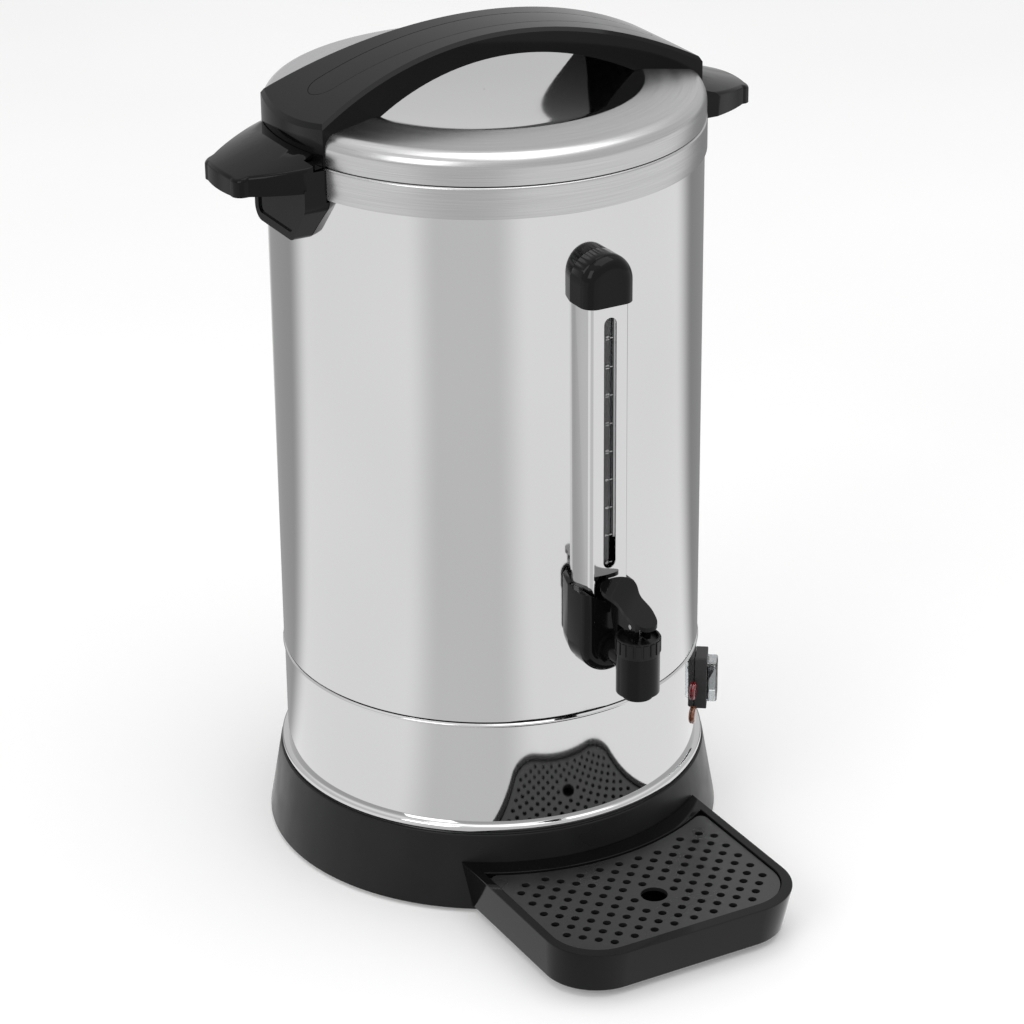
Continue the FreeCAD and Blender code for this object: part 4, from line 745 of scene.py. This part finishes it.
@dataclass
class Handles(SubAssembly):
    """The two carrying handles."""

    def build(self) -> None:
        """Finish both handles."""
        self.refine([
            ("side_handle_left", Body.URN, Slot.GLOSS, 0.8),
            ("side_handle_right", Body.URN, Slot.GLOSS, 0.8),
        ])


@dataclass
class SightGauge(SubAssembly):
    """Gauge cover, tube, strip, cap and marks."""

    first_mark: float = 235.7
    mark_step: float = 18.3
    first_number: int = 6
    count: int = 9
    print_y: float = -149.1
    text_height: float = 3.2

    def build(self) -> None:
        """Finish the mouldings and print the marks."""
        self.refine([
            ("gauge_cover", Body.URN, Slot.MIRROR, 0.0),
            ("gauge_cap", Body.URN, Slot.GLOSS, 0.0),
            ("tap_shroud", Body.URN, Slot.GLOSS, 0.0),
            ("gauge_scale", Body.URN, Slot.GREY, 0.0),
        ])
        self.marks()

    def marks(self) -> None:
        """Numbers and ticks printed on the front of the tube."""
        ink = Moulding("pale grey ink", (0.75, 0.75, 0.75), 0.5, 400.0).build()
        pieces = []
        for i in range(self.count):
            z = (self.first_mark + i * self.mark_step) * MM
            Bench.clear()
            bpy.ops.object.text_add(location=(-0.4 * MM, self.print_y * MM, z))
            text = bpy.context.object
            text.data.body = str(self.first_number + i)
            text.data.size = self.text_height * MM
            text.data.align_x = "CENTER"
            text.data.align_y = "CENTER"
            text.data.extrude = 0.02 * MM
            text.rotation_euler = (math.radians(90), math.radians(-90), 0)
            bpy.ops.object.convert(target="MESH")
            Bench.settle(bpy.context.object)
            pieces.append(bpy.context.object)
            Bench.clear()
            bpy.ops.mesh.primitive_cube_add(size=1, location=(2.2 * MM, self.print_y * MM, z))
            tick = bpy.context.object
            tick.scale = (1.8 * MM, 0.05 * MM, 0.35 * MM)
            Bench.settle(tick)
            pieces.append(tick)
        Bench.clear()
        for piece in pieces:
            piece.select_set(True)
        bpy.context.view_layer.objects.active = pieces[0]
        bpy.ops.object.join()
        marks = bpy.context.object
        marks.name = "gauge_marks"
        Bench.settle(marks)
        marks.data.materials.clear()
        marks.data.materials.append(ink)
        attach(marks, Body.URN.value)
        log.info("made gauge_marks")


@dataclass
class Tap(SubAssembly):
    """Tap body, ribbed ring nut, lever and plunger."""

    def build(self) -> None:
        """Finish the visible pieces of the tap."""
        self.refine([
            ("tap_body", Body.URN, Slot.GLOSS, 0.4),
            ("tap_bonnet", Body.URN, Slot.SATIN, 0.15),
            ("tap_lever", Body.LEVER, Slot.GLOSS, 0.5),
            ("tap_stem", Body.PLUNGER, Slot.PLAIN, 0.1),
            ("tap_lever_pin", Body.PLUNGER, Slot.PLAIN, 0.1),
        ])


@dataclass
class SwitchPanel(SubAssembly):
    """Plinth, rocker, clear cover and lamps."""

    def build(self) -> None:
        """Finish the visible pieces of the panel."""
        self.refine([
            ("switch_plinth", Body.URN, Slot.GREY, 0.5),
            ("switch_body", Body.URN, Slot.SATIN, 0.2),
            ("switch_rocker", Body.ROCKER, Slot.GREY, 0.3),
            ("switch_cover", Body.URN, Slot.CLEAR, 0.2),
            ("lamp_red", Body.URN, Slot.RED, 0.3),
            ("lamp_amber", Body.URN, Slot.AMBER, 0.3),
        ])


@dataclass
class Base(SubAssembly):
    """Flared skirt, bottom plate, feet and mains inlet."""

    def build(self) -> None:
        """Finish the base's pieces."""
        self.refine([
            ("base_skirt", Body.URN, Slot.SATIN, 0.8),
            ("inlet_bezel", Body.URN, Slot.SATIN, 0.3),
            ("mains_inlet", Body.URN, Slot.SATIN, 0.4),
            ("inlet_pins", Body.URN, Slot.BRASS, 0.3),
            ("inlet_screws", Body.URN, Slot.ZINC, 0.2),
            ("rubber_feet", Body.URN, Slot.RUBBER, 0.3),
            ("bottom_plate", Body.URN, Slot.ZINC, 0.1),
        ])


@dataclass
class DripTray(SubAssembly):
    """Tray and its loose grille."""

    def build(self) -> None:
        """Finish the tray and the grille."""
        self.refine([
            ("drip_tray", Body.TRAY, Slot.GLOSS, 0.9),
            ("drip_grille", Body.GRILLE, Slot.SATIN, 0.3),
        ])
        sheen = Moulding("worn satin black", (0.018, 0.018, 0.019), 0.3, 1500.0, 0.00002, 1.45, 0.7).build()
        grille = bpy.data.objects["drip_grille_finish"]
        grille.data.materials.clear()
        grille.data.materials.append(sheen)


@dataclass
class Studio:
    """Floor, soft light and the camera at the photograph's place."""

    camera_place: tuple[float, float, float] = (-0.9664, -1.7726, 1.1429)
    azimuth: float = -28.6
    pitch: float = 24.808
    yaw: float = 0.4143
    roll: float = -0.5166
    lens: float = 121.34
    room_shade: float = 0.72
    room_top: float = 0.5
    ceiling_from: float = 0.78
    screens: tuple[tuple[float, float, float], ...] = (
        (-136.0, 24.0, 0.62), (148.0, 26.0, 0.7), (-10.0, 22.0, 0.28))

    def build(self) -> None:
        """Set the stage."""
        scene = bpy.context.scene
        scene.view_settings.view_transform = "Standard"
        self.floor()
        self.world()
        self.lamps()
        self.camera()

    def camera(self) -> None:
        """Place the camera from its fitted angles."""
        pitch, yaw, roll = (math.radians(v) for v in (self.pitch, self.yaw, self.roll))
        ahead = Vector((math.sin(yaw) * math.cos(pitch), math.cos(yaw) * math.cos(pitch), -math.sin(pitch)))
        right = Vector((math.cos(yaw), -math.sin(yaw), 0.0))
        up = right.cross(ahead)
        turned_right = math.cos(roll) * right + math.sin(roll) * up
        turned_up = -math.sin(roll) * right + math.cos(roll) * up
        turn = Matrix((turned_right, turned_up, -ahead)).transposed()
        place = Matrix.Rotation(math.radians(self.azimuth), 3, "Z")
        data = bpy.data.cameras.new("photo camera")
        data.lens = self.lens
        data.sensor_width = 36.0
        data.clip_start = 0.05
        data.clip_end = 60.0
        camera = bpy.data.objects.new("photo camera", data)
        bpy.context.scene.collection.objects.link(camera)
        camera.matrix_world = Matrix.Translation(self.camera_place) @ (place @ turn).to_4x4()
        bpy.context.scene.camera = camera

    def floor(self) -> None:
        """Plain pale floor that keeps the shadow."""
        Bench.clear()
        bpy.ops.mesh.primitive_plane_add(size=24.0, location=(0, 0, -0.0005))
        plane = bpy.context.object
        plane.name = "floor"
        sheet = NodeSheet("pale floor")
        sheet.set(Roughness=0.7, Specular_IOR_Level=0.1)
        cloud = sheet.noise(sheet.place((1.0, 1.0, 1.0)), 2.0, 2.0)
        sheet.tint(cloud, (0.86, 0.86, 0.86), (0.88, 0.88, 0.88))
        path = sheet.add("ShaderNodeLightPath")
        seen = sheet.math("MAXIMUM", path.outputs["Is Camera Ray"], path.outputs["Is Transmission Ray"])
        glow = sheet.add("ShaderNodeEmission")
        sheet.join(sheet.math("MULTIPLY", seen, 0.16), glow.inputs["Strength"])
        both = sheet.add("ShaderNodeAddShader")
        sheet.join(sheet.shader.outputs[0], both.inputs[0])
        sheet.join(glow.outputs[0], both.inputs[1])
        mirrored = sheet.add("ShaderNodeEmission")
        coords = sheet.add("ShaderNodeTexCoord")
        sheet.join(self.screened(sheet, coords.outputs["Object"]), mirrored.inputs["Strength"])
        choice = sheet.add("ShaderNodeMixShader")
        sheet.join(path.outputs["Is Glossy Ray"], choice.inputs[0])
        sheet.join(both.outputs[0], choice.inputs[1])
        sheet.join(mirrored.outputs[0], choice.inputs[2])
        sheet.join(choice.outputs[0], sheet.tree.nodes["Material Output"].inputs["Surface"])
        plane.data.materials.append(sheet.material)

    def screened(self, sheet: NodeSheet, place: bpy.types.NodeSocket) -> bpy.types.NodeSocket:
        """Brightness of the surroundings by azimuth, with soft grey screens in it.

        Args:
            sheet: node tree to add to.
            place: vector whose azimuth counts.

        Returns:
            The brightness, 1 where no screen stands.
        """
        parts = sheet.add("ShaderNodeSeparateXYZ")
        sheet.join(place, parts.inputs[0])
        angle = sheet.math("ARCTAN2", parts.outputs["X"], sheet.math("MULTIPLY", parts.outputs["Y"], -1.0))
        shade = 1.0
        for middle, half, depth in self.screens:
            turn = sheet.math("SUBTRACT", angle, math.radians(middle + self.azimuth))
            away = sheet.math("ARCCOSINE", sheet.math("COSINE", turn, None), None)
            near = sheet.add("ShaderNodeMapRange", interpolation_type="SMOOTHSTEP")
            near.inputs["From Min"].default_value = math.radians(half * 0.6)
            near.inputs["From Max"].default_value = math.radians(half * 1.4)
            near.inputs["To Min"].default_value = 1.0 - depth
            near.inputs["To Max"].default_value = 1.0
            sheet.join(away, near.inputs["Value"])
            shade = sheet.math("MULTIPLY", shade, near.outputs["Result"])
        return shade

    def world(self) -> None:
        """White surroundings; mirrors meet a dim room with a bright ceiling."""
        world = bpy.data.worlds.new("studio")
        bpy.context.scene.world = world
        sheet = NodeSheet("studio", world)
        back = sheet.tree.nodes["Background"]
        coords = sheet.add("ShaderNodeTexCoord")
        parts = sheet.add("ShaderNodeSeparateXYZ")
        sheet.join(coords.outputs["Generated"], parts.inputs[0])
        ceiling = sheet.add("ShaderNodeMapRange", interpolation_type="SMOOTHSTEP")
        ceiling.inputs["From Min"].default_value = self.room_top
        ceiling.inputs["From Max"].default_value = self.ceiling_from
        ceiling.inputs["To Min"].default_value = self.room_shade
        ceiling.inputs["To Max"].default_value = 1.0
        sheet.join(parts.outputs["Z"], ceiling.inputs["Value"])
        path = sheet.add("ShaderNodeLightPath")
        glossy = path.outputs["Is Glossy Ray"]
        plain = sheet.math("MAXIMUM", path.outputs["Is Camera Ray"], path.outputs["Is Transmission Ray"])
        soft = sheet.math("MULTIPLY", sheet.math("SUBTRACT", 1.0, sheet.math("MAXIMUM", plain, glossy)), 0.72)
        total = sheet.math("ADD", sheet.math("ADD", plain, soft),
                           sheet.math("MULTIPLY", glossy, ceiling.outputs["Result"]))
        sheet.join(total, back.inputs["Strength"])
        back.inputs["Color"].default_value = (1, 1, 1, 1)

    def lamps(self) -> None:
        """Two large soft lamps above and beside the camera."""
        for name, place, size, power in (
            ("overhead softbox", (0.2, -0.4, 2.6), 2.2, 22.0),
            ("side softbox", (-2.4, -1.2, 1.8), 1.4, 16.0),
        ):
            data = bpy.data.lights.new(name, "AREA")
            data.size = size
            data.energy = power
            lamp = bpy.data.objects.new(name, data)
            bpy.context.scene.collection.objects.link(lamp)
            lamp.location = place
            aim = Vector((0, -0.05, 0.25)) - Vector(place)
            lamp.rotation_euler = aim.to_track_quat("-Z", "Y").to_euler()


def main() -> None:
    """Build every sub-assembly in order and report it."""
    finishes = Finishes()
    finishes.build()
    finishes.dress_frame()
    makers: list[Callable[[], None]] = [
        Studio().build, SteelBody(finishes).build, Lid(finishes).build, Handles(finishes).build,
        SightGauge(finishes).build, Tap(finishes).build, SwitchPanel(finishes).build, Base(finishes).build,
        DripTray(finishes).build,
    ]
    for make in makers:
        make()


if __name__ == "__main__":
    main()
